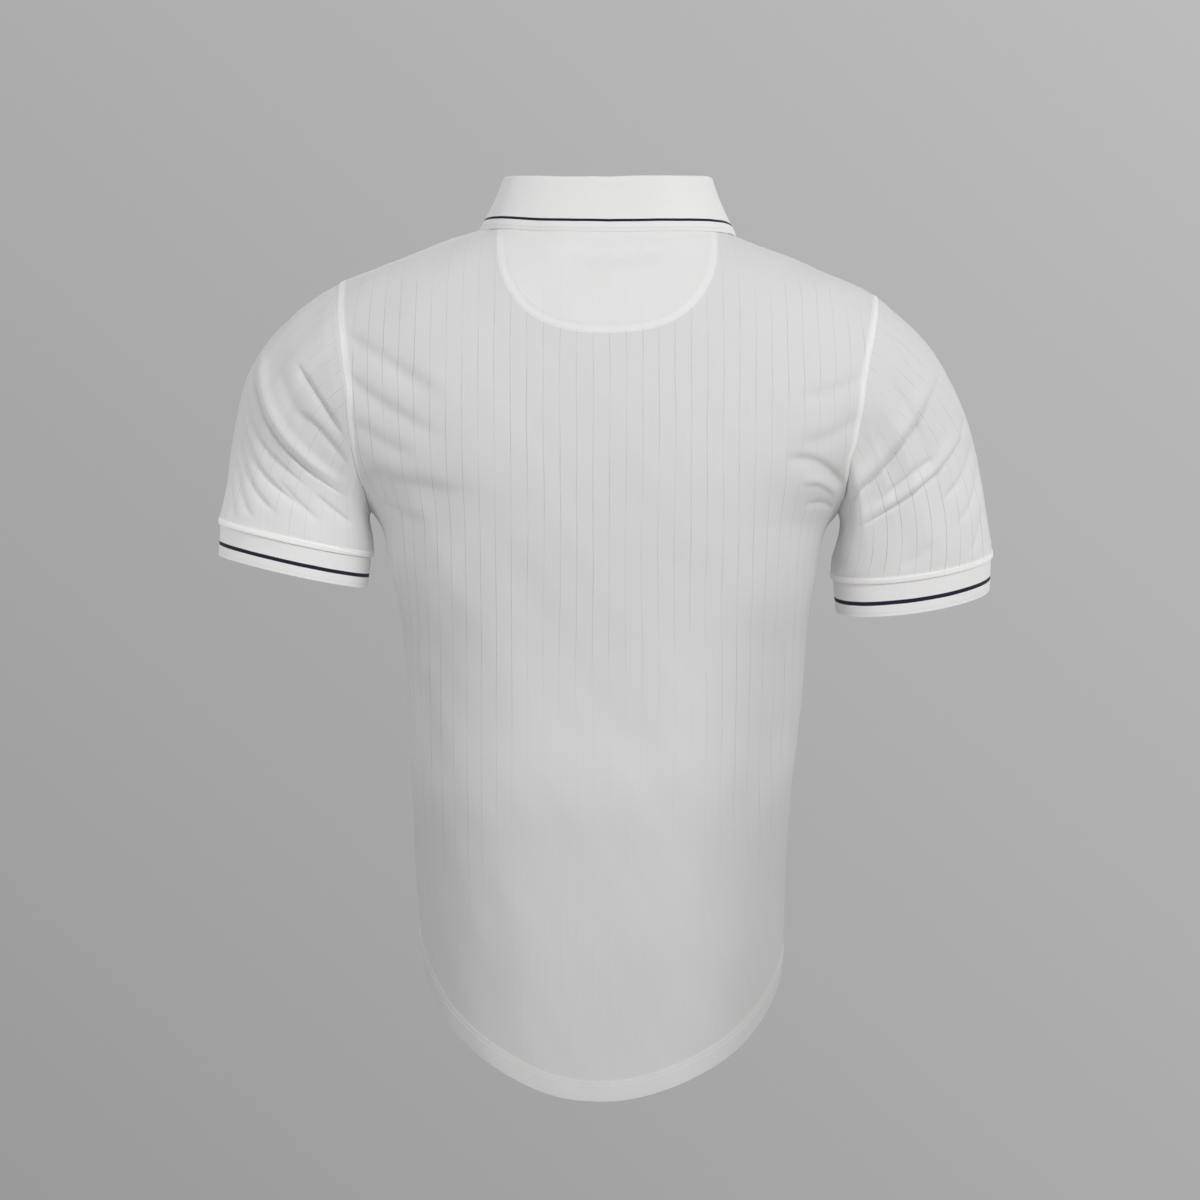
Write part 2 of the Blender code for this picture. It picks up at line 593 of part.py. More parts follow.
def collar_grid():
    """Middle line of the collar's wall by station: up the stand, over the fold, down to its edge."""
    points, turns, leads, angles = collar_stations()
    sign = np.where(angles >= 0, 1.0, -1.0)
    turn = np.abs(angles)
    fold_z = through(COLLAR_FOLD, turn)
    fold_share = through(COLLAR_FOLD, turn, 2)
    fold = np.stack([points[:, 0] * fold_share, points[:, 1] * fold_share, fold_z], -1)
    on_right = (sign < 0) * eased(turn, *COLLAR_RIGHT_FROM)
    fold[:, 0] *= 1 - (1 - COLLAR_RIGHT_SCALE) * on_right
    edge_x = sign * through(COLLAR_EDGE, turn) * (1 - (1 - COLLAR_RIGHT_SCALE) * on_right)
    edge_z = through(COLLAR_EDGE, turn, 2) - COLLAR_RIGHT_DROP * on_right
    edge_lift = through(COLLAR_EDGE, turn, 3)
    behind, behind_normal = on_body(edge_x, edge_z, 1)
    before, before_normal = on_body(edge_x, edge_z, -1)
    rear = (turn <= 90)[:, None]
    edge = np.where(rear, behind, before)
    edge = edge + np.where(rear, behind_normal, before_normal) * edge_lift[:, None]
    out = unit((edge - fold) * (1, 1, 0))
    base = points + leads * SEAM_GAP
    rows = []
    for t in np.linspace(0, 1, FOLD_STEPS):
        rows.append(base * (1 - t) ** 2 + 2 * t * (1 - t) * (base + leads * STAND_LEAD) + fold * t**2)
    for turn_by in np.radians(FOLD_TURNS):
        rows.append(fold + out * FOLD_RADIUS * (1 + math.cos(turn_by))
                    + np.array([0, 0, FOLD_RADIUS]) * math.sin(turn_by))
    over = fold + out * 2 * FOLD_RADIUS
    for t in np.linspace(0, 1, FOLD_STEPS + 1):
        bulge = COLLAR_BULGE * math.sin(math.pi * t) * out
        rows.append(over * (1 - t) + edge * t + bulge)
    grid = np.stack(rows)
    leaf = FOLD_STEPS + len(FOLD_TURNS)
    grid[leaf:] = lifted(grid[leaf:], COLLAR_CLEARANCE)
    return grid, turns, base


def build_collar(collection):
    grid, turns, base = collar_grid()
    around = np.gradient(grid, axis=1)
    along = np.gradient(grid, axis=0)
    normals = unit(np.cross(around, along))
    outward = np.sum(normals[-1] * unit(grid[-1] * (1, 1, 0)))
    normals *= np.sign(outward)
    outer = grid + normals * RIB / 2
    inner = grid - normals * RIB / 2
    outer[0], inner[0] = base - turns * RIB, base
    return wall("collar", outer, inner, "rib", collection)


# ---------------------------------------------------------------- facing, placket, buttons

def build_facing(collection):
    """The half-moon inside the back's neck, from the back's own shape moved in."""
    angles = np.radians(neck_angles(1)[:-1])
    angles = np.concatenate([-angles[:0:-1], angles])
    rows = []
    for t in np.linspace(0, 1, MOON_ROWS):
        sign = np.where(angles >= 0, 1, -1)
        top_x = (NECK_HALF - MOON_INSET) * np.sin(angles)
        top_z = np.where(sign > 0, neck_height(np.degrees(np.abs(angles)), 1, 1),
                         neck_height(np.degrees(np.abs(angles)), -1, 1)) - MOON_INSET
        low_x = MOON_MIDDLE + MOON_HALF * sign * np.abs(np.sin(angles)) ** MOON_CURVE
        low_z = MOON_TOP + (MOON_BOTTOM - MOON_TOP) * np.cos(angles) ** MOON_CURVE
        rows.append(on_body(top_x * (1 - t) + low_x * t, top_z * (1 - t) + low_z * t, 1))
    points = np.stack([row[0] for row in rows])
    normals = np.stack([row[1] for row in rows])
    outer = points + normals * fold_height(points)[..., None] - normals * (CLOTH + FACING_CLEARANCE)
    return wall("neck_facing", outer, outer - normals * FACING, "facing", collection)


def placket_strip():
    """Edges of the placket's strips on the front's own faces, and the way out, row by row."""
    points, normals = panel_grid(-1)
    middle = points.shape[1] // 2
    first = notch_rows(points) - 1
    edges = []
    for near, far in ((middle - 1, middle - 2), (middle + 1, middle + 2)):
        inner, outer = points[first:, near], points[first:, far]
        share = (PLACKET_HALF - NOTCH_HALF) / (np.abs(outer[:, :1]) - NOTCH_HALF)
        edges.append(inner * (1 - share) + outer * share)
    grid = np.stack(edges, 1)
    bottom = (NOTCH_END - PLACKET_TAIL - grid[0, :, 2]) / (grid[1, :, 2] - grid[0, :, 2])
    grid[0] = grid[0] + (grid[1] - grid[0]) * bottom[:, None]
    return grid, unit(normals[first:, middle - 1] + normals[first:, middle + 1])[:, None]


def build_placket(name, layer, collection):
    """A strip outside (+1) or inside (-1) the front, made from the front's own points."""
    grid, out = placket_strip()
    outer = grid + out * layer * (SEAM_GAP + CLOTH)
    return wall(name, outer, outer - out * CLOTH, "shell", collection)


def build_button(name, height, collection, cutters):
    """A flat disc with four holes, on the outer strip."""
    grid, out = placket_strip()
    face = (grid + out * (SEAM_GAP + CLOTH)).mean(1)
    above = int(np.argmax(face[:, 2] > height))
    share = (height - face[above - 1, 2]) / (face[above, 2] - face[above - 1, 2])
    run = face[above] - face[above - 1]
    normal = unit(np.cross(run, (-1.0, 0, 0)))
    seat = face[above - 1] + run * share + normal * SEAM_GAP
    bpy.ops.mesh.primitive_cylinder_add(vertices=BUTTON_SIDES, radius=BUTTON_RADIUS, depth=BUTTON_THICK)
    button = bpy.context.object
    button.name = name
    button.data.name = name
    button.data.transform(turned_to(normal))
    button.location = tuple(seat + normal * BUTTON_THICK / 2)
    button.data.materials.append(paint(name, "button"))
    button.data.shade_smooth()
    button.data.set_sharp_from_angle(angle=math.radians(SHARP_ANGLE))
    move_to(button, collection)
    for number, (side, up) in enumerate(((-1, -1), (-1, 1), (1, -1), (1, 1))):
        bpy.ops.mesh.primitive_cylinder_add(
            vertices=BUTTON_HOLE_SIDES, radius=BUTTON_HOLE_RADIUS, depth=3 * BUTTON_THICK)
        drill = bpy.context.object
        drill.name = f"{name}_hole_{number}"
        rise = np.cross(normal, (1, 0, 0))
        spot = np.array((1, 0, 0)) * side * BUTTON_HOLE_OFFSET + rise * up * BUTTON_HOLE_OFFSET
        drill.data.transform(turned_to(normal))
        drill.location = tuple(np.array(button.location) + spot)
        drill.hide_render = True
        drill.display_type = "WIRE"
        move_to(drill, cutters)
        cut = button.modifiers.new(f"hole_{number}", "BOOLEAN")
        cut.object = drill
        cut.operation = "DIFFERENCE"
        cut.solver = "EXACT"
    return button


def turned_to(normal):
    """The turn that brings +Z onto a normal in the YZ plane."""
    return Vector((0, 0, 1)).rotation_difference(Vector(tuple(normal))).to_matrix().to_4x4()


def move_to(shape, collection):
    for old in shape.users_collection:
        old.objects.unlink(shape)
    collection.objects.link(shape)


def clear_scene():
    for shape in list(bpy.data.objects):
        bpy.data.objects.remove(shape, do_unlink=True)


def new_collection(name):
    collection = bpy.data.collections.new(name)
    bpy.context.scene.collection.children.link(collection)
    return collection


def main():
    clear_scene()
    shirt = new_collection("polo_shirt")
    cutters = new_collection("cutters")
    cutters.hide_render = True
    build_panel("back", 1, shirt)
    build_panel("front", -1, shirt)
    for side, sleeve in SLEEVES.items():
        build_sleeve(f"sleeve_{side}", sleeve["sign"], shirt)
        build_cuff(f"cuff_{side}", sleeve["sign"], shirt)
    build_collar(shirt)
    build_facing(shirt)
    build_placket("placket_over", 1, shirt)
    build_placket("placket_under", -1, shirt)
    for number, height in enumerate(BUTTON_HEIGHTS, 1):
        build_button(f"button_{number}", height, shirt, cutters)


main()
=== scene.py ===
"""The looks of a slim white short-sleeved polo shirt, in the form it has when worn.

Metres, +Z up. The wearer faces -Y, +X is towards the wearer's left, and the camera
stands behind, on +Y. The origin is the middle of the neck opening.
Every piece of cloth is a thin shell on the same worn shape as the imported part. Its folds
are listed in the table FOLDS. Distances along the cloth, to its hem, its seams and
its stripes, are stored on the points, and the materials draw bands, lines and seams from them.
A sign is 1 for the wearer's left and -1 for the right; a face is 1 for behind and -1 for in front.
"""

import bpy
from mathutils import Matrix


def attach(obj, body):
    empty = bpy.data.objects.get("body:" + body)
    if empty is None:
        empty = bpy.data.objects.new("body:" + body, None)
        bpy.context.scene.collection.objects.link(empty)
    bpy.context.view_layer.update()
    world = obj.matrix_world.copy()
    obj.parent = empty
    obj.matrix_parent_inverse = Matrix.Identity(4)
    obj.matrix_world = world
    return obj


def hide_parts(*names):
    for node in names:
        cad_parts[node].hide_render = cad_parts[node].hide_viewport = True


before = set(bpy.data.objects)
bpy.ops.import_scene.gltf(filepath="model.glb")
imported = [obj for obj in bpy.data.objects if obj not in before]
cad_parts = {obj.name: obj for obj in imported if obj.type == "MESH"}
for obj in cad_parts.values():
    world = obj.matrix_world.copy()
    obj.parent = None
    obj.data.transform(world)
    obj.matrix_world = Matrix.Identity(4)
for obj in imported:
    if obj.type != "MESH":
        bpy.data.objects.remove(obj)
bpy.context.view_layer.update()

import math
from collections import namedtuple

import bpy
import numpy as np
from mathutils import Matrix, Vector
from mathutils.bvhtree import BVHTree

MM = 0.001

# ---- cloth: thicknesses, the stripes, and the widths of bands ----
CLOTH, RIB, FACING, PLACKET_CLOTH = 0.0010, 0.0016, 0.0008, 0.0014
SEAM_GAP = 0.0003
STRIPE_PITCH = 0.0130
# heights between which the stripes fade, and how much further down they reach at the sides
STRIPES_FADE, SIDE_STRIPES = (-0.46, -0.25), 0.15
SHOULDERS_FADE = (-0.090, -0.035)
# how strong they stay low down and on the right, and what share they lose at the shoulders
STRIPES_LOW, STRIPES_RIGHT, SHOULDERS_LOSE = 0.12, 0.72, 0.7
# distances from the middle over which they reach further down, and change from right to left
STRIPES_SIDES, STRIPES_ACROSS = (0.05, 0.12), (-0.12, 0.12)
# a stripe is a dark line with a light one on each side, in shares of the pitch from its middle
LINE_FALL, LIGHT_RISE, LIGHT_FALL = (0.018, 0.050), (0.045, 0.06), (0.085, 0.11)
LINE_DARK, LIGHT_BRIGHT = 0.20, 0.035
HEM_BAND, NECK_LINE, SEAM_BAND, END_BAND = 0.0165, 0.0120, 0.0050, 0.0050
SHARP = math.radians(60)
# the mark of a point that lies nowhere near a band
FAR = 0.5

# ---- the worn shape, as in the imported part: rows of tables run from the top down ----
NECK_HALF = 0.085
TIP_HALF = 0.2206
BODY_ROUNDNESS = 2.5
PROBE = 0.0005
LEFT_TIP, RIGHT_TIP = -0.0517, -0.0623
LEFT_TOP, RIGHT_TOP = 0.0, -0.005
LEFT_PIT, RIGHT_PIT = -0.2369, -0.2386

# height, half width of the wearer's left side
LEFT_SIDE = (
    (LEFT_TOP, NECK_HALF), (-0.0085, 0.1100), (-0.0165, 0.1340), (LEFT_TIP, TIP_HALF),
    (-0.0750, 0.2500), (-0.1000, 0.2720), (-0.1300, 0.2820), (-0.1600, 0.2680),
    (-0.2000, 0.2350), (LEFT_PIT, 0.1943), (-0.2526, 0.1845), (-0.2750, 0.1805),
    (-0.3350, 0.1690), (-0.3800, 0.1665), (-0.4170, 0.1650), (-0.5000, 0.1590),
    (-0.5810, 0.1540), (-0.7100, 0.1500),
)
# height, half width of the wearer's right side
RIGHT_SIDE = (
    (RIGHT_TOP, NECK_HALF), (-0.0165, 0.1130), (-0.0300, 0.1455), (RIGHT_TIP, TIP_HALF),
    (-0.0850, 0.2480), (-0.1100, 0.2660), (-0.1350, 0.2700), (-0.1650, 0.2560),
    (-0.2000, 0.2270), (RIGHT_PIT, 0.1871), (-0.2526, 0.1765), (-0.2750, 0.1710),
    (-0.3350, 0.1620), (-0.3800, 0.1582), (-0.4170, 0.1540), (-0.5000, 0.1470),
    (-0.5810, 0.1435), (-0.7100, 0.1380),
)
# height, depth of the shape behind its side seams
BACK_DEPTH = (
    (0.0000, 0.0500), (-0.0180, 0.0600), (-0.0500, 0.0810), (-0.0800, 0.0960),
    (-0.1200, 0.1080), (-0.1600, 0.1150), (-0.2000, 0.1170), (-0.2500, 0.1140),
    (-0.3000, 0.1070), (-0.3600, 0.0990), (-0.4200, 0.0955), (-0.5000, 0.1020),
    (-0.6000, 0.1140), (-0.7100, 0.1170),
)
# height, depth of the shape in front of its side seams
FRONT_DEPTH = (
    (0.0000, 0.0450), (-0.0400, 0.0560), (-0.0800, 0.0680), (-0.1200, 0.0880),
    (-0.1600, 0.1040), (-0.2000, 0.1150), (-0.2500, 0.1190), (-0.3000, 0.1160),
    (-0.3600, 0.1110), (-0.4200, 0.1080), (-0.5000, 0.1090), (-0.6000, 0.1140),
    (-0.7100, 0.1140),
)
# height, distance of the back armhole seam from the middle
LEFT_ARMHOLE = (
    (LEFT_TIP, TIP_HALF), (-0.0800, 0.2190), (-0.1040, 0.2166), (-0.1460, 0.2104),
    (-0.1720, 0.2088), (-0.1990, 0.2047), (-0.2296, 0.1970), (LEFT_PIT, 0.1943),
)
RIGHT_ARMHOLE = (
    (RIGHT_TIP, TIP_HALF), (-0.0850, 0.2160), (-0.1265, 0.2074), (-0.1562, 0.2033),
    (-0.1855, 0.1979), (-0.1997, 0.1935), (-0.2216, 0.1929), (RIGHT_PIT, 0.1871),
)
FRONT_ARMHOLE_SCOOP = 0.010
ARMHOLE_BLEND = 0.75
ALLOWANCE = 0.0060
# top, tip and pit are heights at the neck, the shoulder tip and the underarm, and band is the
# width of the armhole's stitched band at the underarm and at the tip
Side = namedtuple("Side", "name top tip pit outline armhole band")
SIDES = {
    1: Side("left", LEFT_TOP, LEFT_TIP, LEFT_PIT, LEFT_SIDE, LEFT_ARMHOLE, (0.0020, 0.0066)),
    -1: Side("right", RIGHT_TOP, RIGHT_TIP, RIGHT_PIT, RIGHT_SIDE, RIGHT_ARMHOLE, (0.0042, 0.0058)),
}

# ---- neckline and hem ----
BACK_NECK, FRONT_NECK = -0.010, -0.080
# angle from the middle of the panel to the wearer's left side seam, height of the back's hem
BACK_HEM = (
    (-90, -0.6030), (-84, -0.6090), (-66, -0.6390), (-53, -0.6591), (-35, -0.6820),
    (-20, -0.6957), (-7, -0.7040), (3, -0.7060), (18, -0.7015), (31, -0.6880),
    (46, -0.6685), (63, -0.6410), (82, -0.5980), (90, -0.5890),
)
# the same for the front's hem, which is shorter
FRONT_HEM = (
    (-90, -0.6030), (-80, -0.6110), (-50, -0.6470), (-20, -0.6690), (0, -0.6730),
    (20, -0.6690), (50, -0.6420), (80, -0.5970), (90, -0.5890),
)
HEM_SMOOTHING = (-9, -6, -3, 0, 3, 6, 9)

# ---- placket and buttons ----
NOTCH_HALF, NOTCH_END = 0.0125, -0.225
PLACKET_HALF, PLACKET_TAIL = 0.0165, 0.010
# the outer strip is raised a little, and rounded off by a depth within a width of its edges
PLACKET_RAISED, PLACKET_ROUND, PLACKET_EDGE = 0.0001, 0.0005, 0.0012
BUTTON_HEIGHTS = (-0.100, -0.150, -0.200)
BUTTON_HOLE_RADIUS, BUTTON_HOLE_OFFSET, BUTTON_DRILL = 0.0008, 0.0013, 0.0072
BUTTON_LIFT, BUTTON_DISH = 0.0005, 0.0016
BUTTON_SIDES, BUTTON_HOLE_SIDES, BUTTON_SHARP = 64, 20, math.radians(40)
# radius, height, from the middle of the face over the rim to the middle of the foot
BUTTON_PROFILE = (
    (0, 0.0016), (0.0008, 0.0016), (0.0024, 0.0016), (0.0032, 0.0019), (0.0040, 0.0023),
    (0.0047, 0.0024), (0.0052, 0.0021), (0.0055, 0.0014), (0.0053, 0.0007), (0.0046, 0.0002),
    (0.0034, 0), (0.0008, 0), (0, 0),
)

# ---- sewing. A thread is given by its length, radius and bow ----
STITCH_PITCH = 0.0030
STITCH = (0.0023, 0.00022, 0.00012)
BUTTON_THREAD = (2 * BUTTON_HOLE_OFFSET, 0.00017, 0.0003)
HOLE_THREAD = (0.0018, 0.00024, 0.00022)
THREAD_SIDES = 6
# place along a stitch from its middle, share of its radius there
THREAD_STATIONS = ((-1, 0.3), (-0.7, 0.9), (0, 1), (0.7, 0.9), (1, 0.3))
SEARCH = 0.012
HEM_STITCHES, MOON_STITCHES, END_STITCHES = (0.0012, 0.0048), (0.0014, 0.0072), (0.0024, 0.0078)
NECK_STITCHES = (NECK_LINE, NECK_LINE - 0.0072)
SHOULDER_STITCH, EDGE_STITCH = 0.0030, 0.0016
# share of the armhole's band that its stitches leave beside the seam
ARM_STITCH = 0.82
PLACKET_BOX = (0.0015, 0.0085)
THREAD_APART = 0.00032
HOLE_HALF, HOLE_WIDE, HOLE_POWER, HOLE_STITCHES = 0.0085, 0.0011, 0.3, 90

# ---- collar: angle round the neck from the middle of the back, in degrees ----
FOLD_RADIUS = 0.0014
FOLD_TURNS = (165, 140, 115, 90, 65, 40, 15)
COLLAR_CLEARANCE = ((0, 0.0013), (100, 0.0014), (135, 0.0024), (180, 0.0030))
# angle, fold height, share of the neckline's distance from the axis at the fold
COLLAR_FOLD = (
    (0, 0.0288, 0.97), (45, 0.0302, 0.98), (80, 0.0328, 0.995), (100, 0.0310, 0.990),
    (120, 0.0190, 0.96), (140, -0.0100, 0.93), (160, -0.0420, 0.93), (180, -0.0590, 0.95),
)
# angle, edge distance from the middle plane, edge height, lift off the shape at the edge
COLLAR_EDGE = (
    (0, 0.0000, -0.0145, 0.0015), (30, 0.0480, -0.0135, 0.0014), (60, 0.0900, -0.0095, 0.0013),
    (90, 0.1075, -0.0072, 0.0014), (105, 0.1080, -0.0195, 0.0016), (120, 0.1070, -0.0400, 0.0018),
    (150, 0.0900, -0.0850, 0.0018), (180, 0.0560, -0.1300, 0.0020),
)
# how many degrees from the shoulder the edge is evened out, and in how many passes
COLLAR_EVEN, EVEN_PASSES = 25, 40
COLLAR_BULGE = -0.0012
LEAF_EASE, LEAF_CALM = 0.030, 0.4
# near its edge the collar comes down to the body, and right at the edge it is thinner
EDGE_TOUCH, TOUCH_WIDTH, EDGE_THIN, THIN_WIDTH = 0.0010, 0.0035, 0.45, 0.0012
STAND_LEAN, STAND_LEAD = 0.3, 0.012
LIFT_PASSES = 3
# the collar's right side hangs lower and narrower, from these angles on
COLLAR_RIGHT_DROP, COLLAR_RIGHT_SCALE, COLLAR_RIGHT_FROM = 0.0040, 0.975, (20, 90)

# ---- half-moon facing ----
MOON_HALF, MOON_MIDDLE = 0.0892, 0.0015
MOON_TOP, MOON_BOTTOM = -0.012, -0.0985
MOON_POWER = 2.5
MOON_NECK_INSET = 0.004
MOON_TURN = 1.45

# ---- sleeves and cuffs. A sleeve's stripes curve round a point (x, z) near the armpit, and are
# broken into dashes above these heights, which fade towards the sleeve's top line ----
# white in SLEEVES is painted light: how much lighter a sleeve is painted below its cap
SLEEVES = {
    1: dict(middle=(0.2573, -0.006, -0.2605), wide=0.0650, deep=0.0480, tilt=12.5, forward=4.6,
            pull=1.47, cuff_wide=0.0626, cuff_shift=(-0.0029, -0.0002), stripes=0.55, white=0.16),
    -1: dict(middle=(-0.2497, -0.018, -0.2825), wide=0.0672, deep=0.0490, tilt=8.0, forward=13.5,
             pull=1.07, cuff_wide=0.0643, cuff_shift=(0.0027, -0.0022), stripes=1.25, white=0.10),
}
CUFF_HEIGHT = 0.0255
CUFF_STEP = 0.0016
CUFF_UNEVEN, CUFF_CALM = 0.5, 0.3
# the folds fade out over these lengths at a sleeve's seam and at its end
SEAM_CALM, END_CALM = 0.016, 0.020
UNDERARM_PULL = 1.05
SLEEVE_LEAD, UNDERARM_LEAD = (0.62, -0.785), (0.42, -0.907)
UNDERARM_SHARE = (0.08, 0.45)
STRIPE_CENTRE, STRIPE_ROUND = (0.155, -0.262), 0.012
SLEEVE_DASHES, TOP_FADE, CAP_STRIPES = (-0.235, -0.165), (0.012, 0.050), 0.75
DASH_LEAST = 0.35

# ---- grids ----
NECK_STEPS, SHOULDER_STEPS, NOTCH_STEPS = 42, 56, 6
BODY_ROWS, ARMHOLE_ROWS = 120, 110
RING_BACK, RING_FRONT = 190, 90
SLEEVE_ROWS, CUFF_ROWS = 166, 22
STAND_STEPS, LEAF_STEPS = 10, 34
MOON_ROWS, MOON_COLUMNS = 26, 59
PLACKET_ROWS, PLACKET_COLUMNS, MOON_POINTS = 60, 9, 160
CURVE_STEPS = 24

# ---- folds of a piece on one face, in millimetres. Each runs along a curve through three points,
# seen from behind. over and under are its half widths above and below the curve, and power is
# how sharp its middle is, 2 for round and 1 for a crease. A negative height is a trough. lip is the
# depth of the sharp crease where a raised fold rolls over, LIP_PLACE times under below its middle.
FOLD_COLUMNS = ("x0", "z0", "x1", "z1", "x2", "z2", "over", "under", "height", "power", "lip")
FOLDS = {
    # the rolled fold to the underarm and the fan below it
    ("sleeve_left", 1): (
        (281, -101, 266, -169, 206, -222, 4.2, 5.2, 4.0, 2, 3.6),
        (266, -118, 254, -154, 226, -190, 6, 6, -1.6, 2, 0),
        (294, -126, 285, -176, 240, -221, 1.7, 4.2, -3.0, 1.3, 0),
        (299, -142, 286, -198, 243, -238, 1.7, 4.2, -3.0, 1.3, 0),
        (303, -164, 291, -212, 266, -242, 1.7, 4.0, -2.7, 1.3, 0),
        (306, -186, 298, -223, 288, -246, 1.6, 3.6, -2.2, 1.3, 0),
        (309, -206, 308, -228, 303, -244, 1.6, 3.0, -1.6, 1.4, 0),
        (240, -222, 222, -238, 207, -249, 2.2, 4.0, -1.8, 1.5, 0),
        (252, -118, 233, -147, 211, -182, 1.8, 3.4, -4.4, 1.3, 0),
        (252, -158, 231, -175, 208, -205, 2.4, 4.4, -3.2, 1.4, 0),
        (268, -212, 250, -232, 232, -248, 2.2, 3.8, -1.5, 1.5, 0),
    ),
    # two rolled folds and the sunk cloth between them
    ("sleeve_right", 1): (
        (-264, -118, -234, -176, -174, -240, 7, 5.0, 3.3, 2, 2.8),
        (-284, -166, -257, -208, -192, -250, 5, 4.0, 2.6, 2, 2.6),
        (-268, -192, -243, -210, -212, -236, 3, 5, -2.6, 1.6, 0),
        (-289, -160, -289, -168, -285, -176, 2, 1.6, -1.4, 1.4, 0),
        (-296, -176, -288, -206, -266, -232, 1.8, 3.6, -2.0, 1.4, 0),
        (-300, -194, -296, -226, -280, -250, 1.8, 3.6, -1.7, 1.4, 0),
        (-305, -230, -301, -256, -292, -274, 2.0, 3.4, -1.4, 1.5, 0),
        (-186, -238, -182, -262, -190, -290, 6, 6, -4.2, 2, 0),
        (-264, -262, -250, -276, -232, -286, 5, 5, -1.0, 1.8, 0),
    ),
    # pulls from both armholes, a hollow under the collar, long shallow ones below
    ("back", 1): (
        (216, -94, 181, -117, 124, -155, 4.5, 10, -3.4, 1.6, 0),
        (211, -126, 185, -151, 126, -185, 4.5, 10, -3.0, 1.6, 0),
        (207, -164, 186, -182, 152, -198, 6, 9, -2.4, 1.7, 0),
        (198, -207, 168, -219, 102, -229, 8, 15, -3.4, 1.9, 0),
        (190, -231, 168, -241, 144, -250, 3.5, 6, -2.2, 1.6, 0),
        (-138, -200, -168, -201, -194, -225, 3.0, 8, -3.8, 1.5, 0),
        (-152, -217, -170, -216, -186, -228, 4, 3, 1.8, 2, 0.8),
        (-156, -237, -170, -233, -184, -238, 3, 2.6, -1.6, 1.5, 0),
        (-209, -128, -181, -142, -146, -150, 5, 8, -1.9, 1.8, 0),
        (-200, -160, -180, -178, -142, -188, 6, 9, -1.9, 1.8, 0),
        (50, -25, -2, -33, -52, -28, 4, 8, -2.6, 2, 0),
        (62, -15, 4, -23, -58, -19, 1.2, 1.6, -0.6, 1.6, 0),
        (-10, -395, -34, -448, -58, -505, 17, 13, -1.7, 2, 0),
        (156, -365, 150, -413, 134, -470, 14, 10, -2.4, 2, 0),
        (-140, -400, -122, -450, -104, -500, 14, 12, -1.8, 2, 0),
        (96, -260, 60, -330, 44, -420, 22, 22, -1.3, 2, 0),
        (-96, -262, -70, -330, -66, -410, 22, 20, -1.2, 2, 0),
        (100, -520, 92, -590, 96, -655, 16, 14, -1.3, 2, 0),
        (-80, -530, -72, -590, -78, -660, 15, 15, -1.2, 2, 0),
    ),
    # the sleeves in front, much as behind
    ("sleeve_left", -1): (
        (279, -106, 250, -166, 204, -222, 7, 5.4, 4.0, 2, 2.2),
        (292, -136, 272, -188, 222, -228, 3.6, 2.4, -2.2, 1.4, 0),
        (299, -158, 286, -200, 250, -238, 3.6, 2.4, -2.0, 1.4, 0),
        (304, -182, 297, -216, 280, -243, 3.4, 2.4, -1.6, 1.4, 0),
        (250, -124, 232, -150, 213, -186, 3.2, 3.4, -2.4, 1.4, 0),
    ),
    ("sleeve_right", -1): (
        (-265, -130, -236, -180, -194, -232, 7, 5.2, 3.8, 2, 2.2),
        (-284, -172, -256, -216, -204, -250, 5, 4, 2.4, 2, 1.6),
        (-298, -196, -284, -232, -260, -256, 3.8, 2.8, -1.7, 1.4, 0),
        (-242, -138, -226, -170, -205, -202, 4, 4.4, -2.0, 1.5, 0),
    ),
    # pulls from the armholes to the chest, and slack above the hem
    ("front", -1): (
        (198, -120, 160, -140, 112, -152, 7, 10, -2.2, 1.8, 0),
        (196, -176, 160, -204, 108, -214, 8, 11, -2.8, 1.8, 0),
        (186, -232, 164, -246, 132, -250, 5, 6, -2.0, 1.8, 0),
        (-196, -128, -158, -148, -108, -158, 7, 10, -2.2, 1.8, 0),
        (-192, -184, -158, -208, -104, -222, 8, 11, -2.6, 1.8, 0),
        (-182, -236, -160, -250, -126, -256, 5, 6, -2.0, 1.8, 0),
        (40, -262, 64, -320, 110, -380, 18, 14, -1.8, 2, 0),
        (-34, -270, -58, -330, -100, -396, 18, 14, -1.8, 2, 0),
        (96, -440, 78, -520, 84, -610, 16, 15, -1.5, 2, 0),
        (-90, -450, -74, -530, -80, -600, 16, 15, -1.5, 2, 0),
        (12, -400, 4, -480, 10, -580, 20, 18, -1.4, 2, 0),
    ),
}
FOLD_FADE, FOLD_PAST = 0.28, 0.02
FOLD_SIDE = (-0.014, 0.008)
LIP_PLACE, LIP_WIDTH, LIP_POWER = 1.45, 0.0012, 1.4

# ---- relief of the sewn bands, raised, and of the seams, sunk by these depths ----
ARM_RAISED, HEM_RAISED, MOON_RAISED, END_RAISED = 0.00040, 0.00030, 0.00035, 0.0005
SEAM_DITCH, SIDE_DITCH, HEM_DITCH, NECK_DITCH = 0.0003, 0.0004, 0.00025, 0.00030
DITCH_WIDTH, FINE_DITCH_WIDTH, HEM_TUCK = 0.0010, 0.0009, 0.0003
# distances from the band's own line over which it rises, and over which it falls again
ARM_RISE, ARM_FALL = (0.0002, 0.0010), (SEAM_BAND - 0.0006, SEAM_BAND + 0.0004)
END_RISE, END_FALL = (0.0004, 0.0016), (0.0044, 0.0056)
MOON_RISE, HEM_FALL = (-0.0004, 0.0010), (HEM_BAND - 0.0010, HEM_BAND + 0.0008)

# ---- how much darker the cloth is painted at the sides and low down, a painted shade, and how
# much less white the hem is at the sides. Shares are of the half width ----
SIDE_SHADE, SIDE_SHADE_SHARES, SIDE_SHADE_HEIGHTS = 0.12, (0.35, 0.85), (-0.34, -0.27)
LOW_SHADE, LOW_SHADE_HEIGHTS = 0.10, (-0.50, -0.42)
HEM_LESS, HEM_LESS_SHARES = 0.75, (0.55, 0.95)

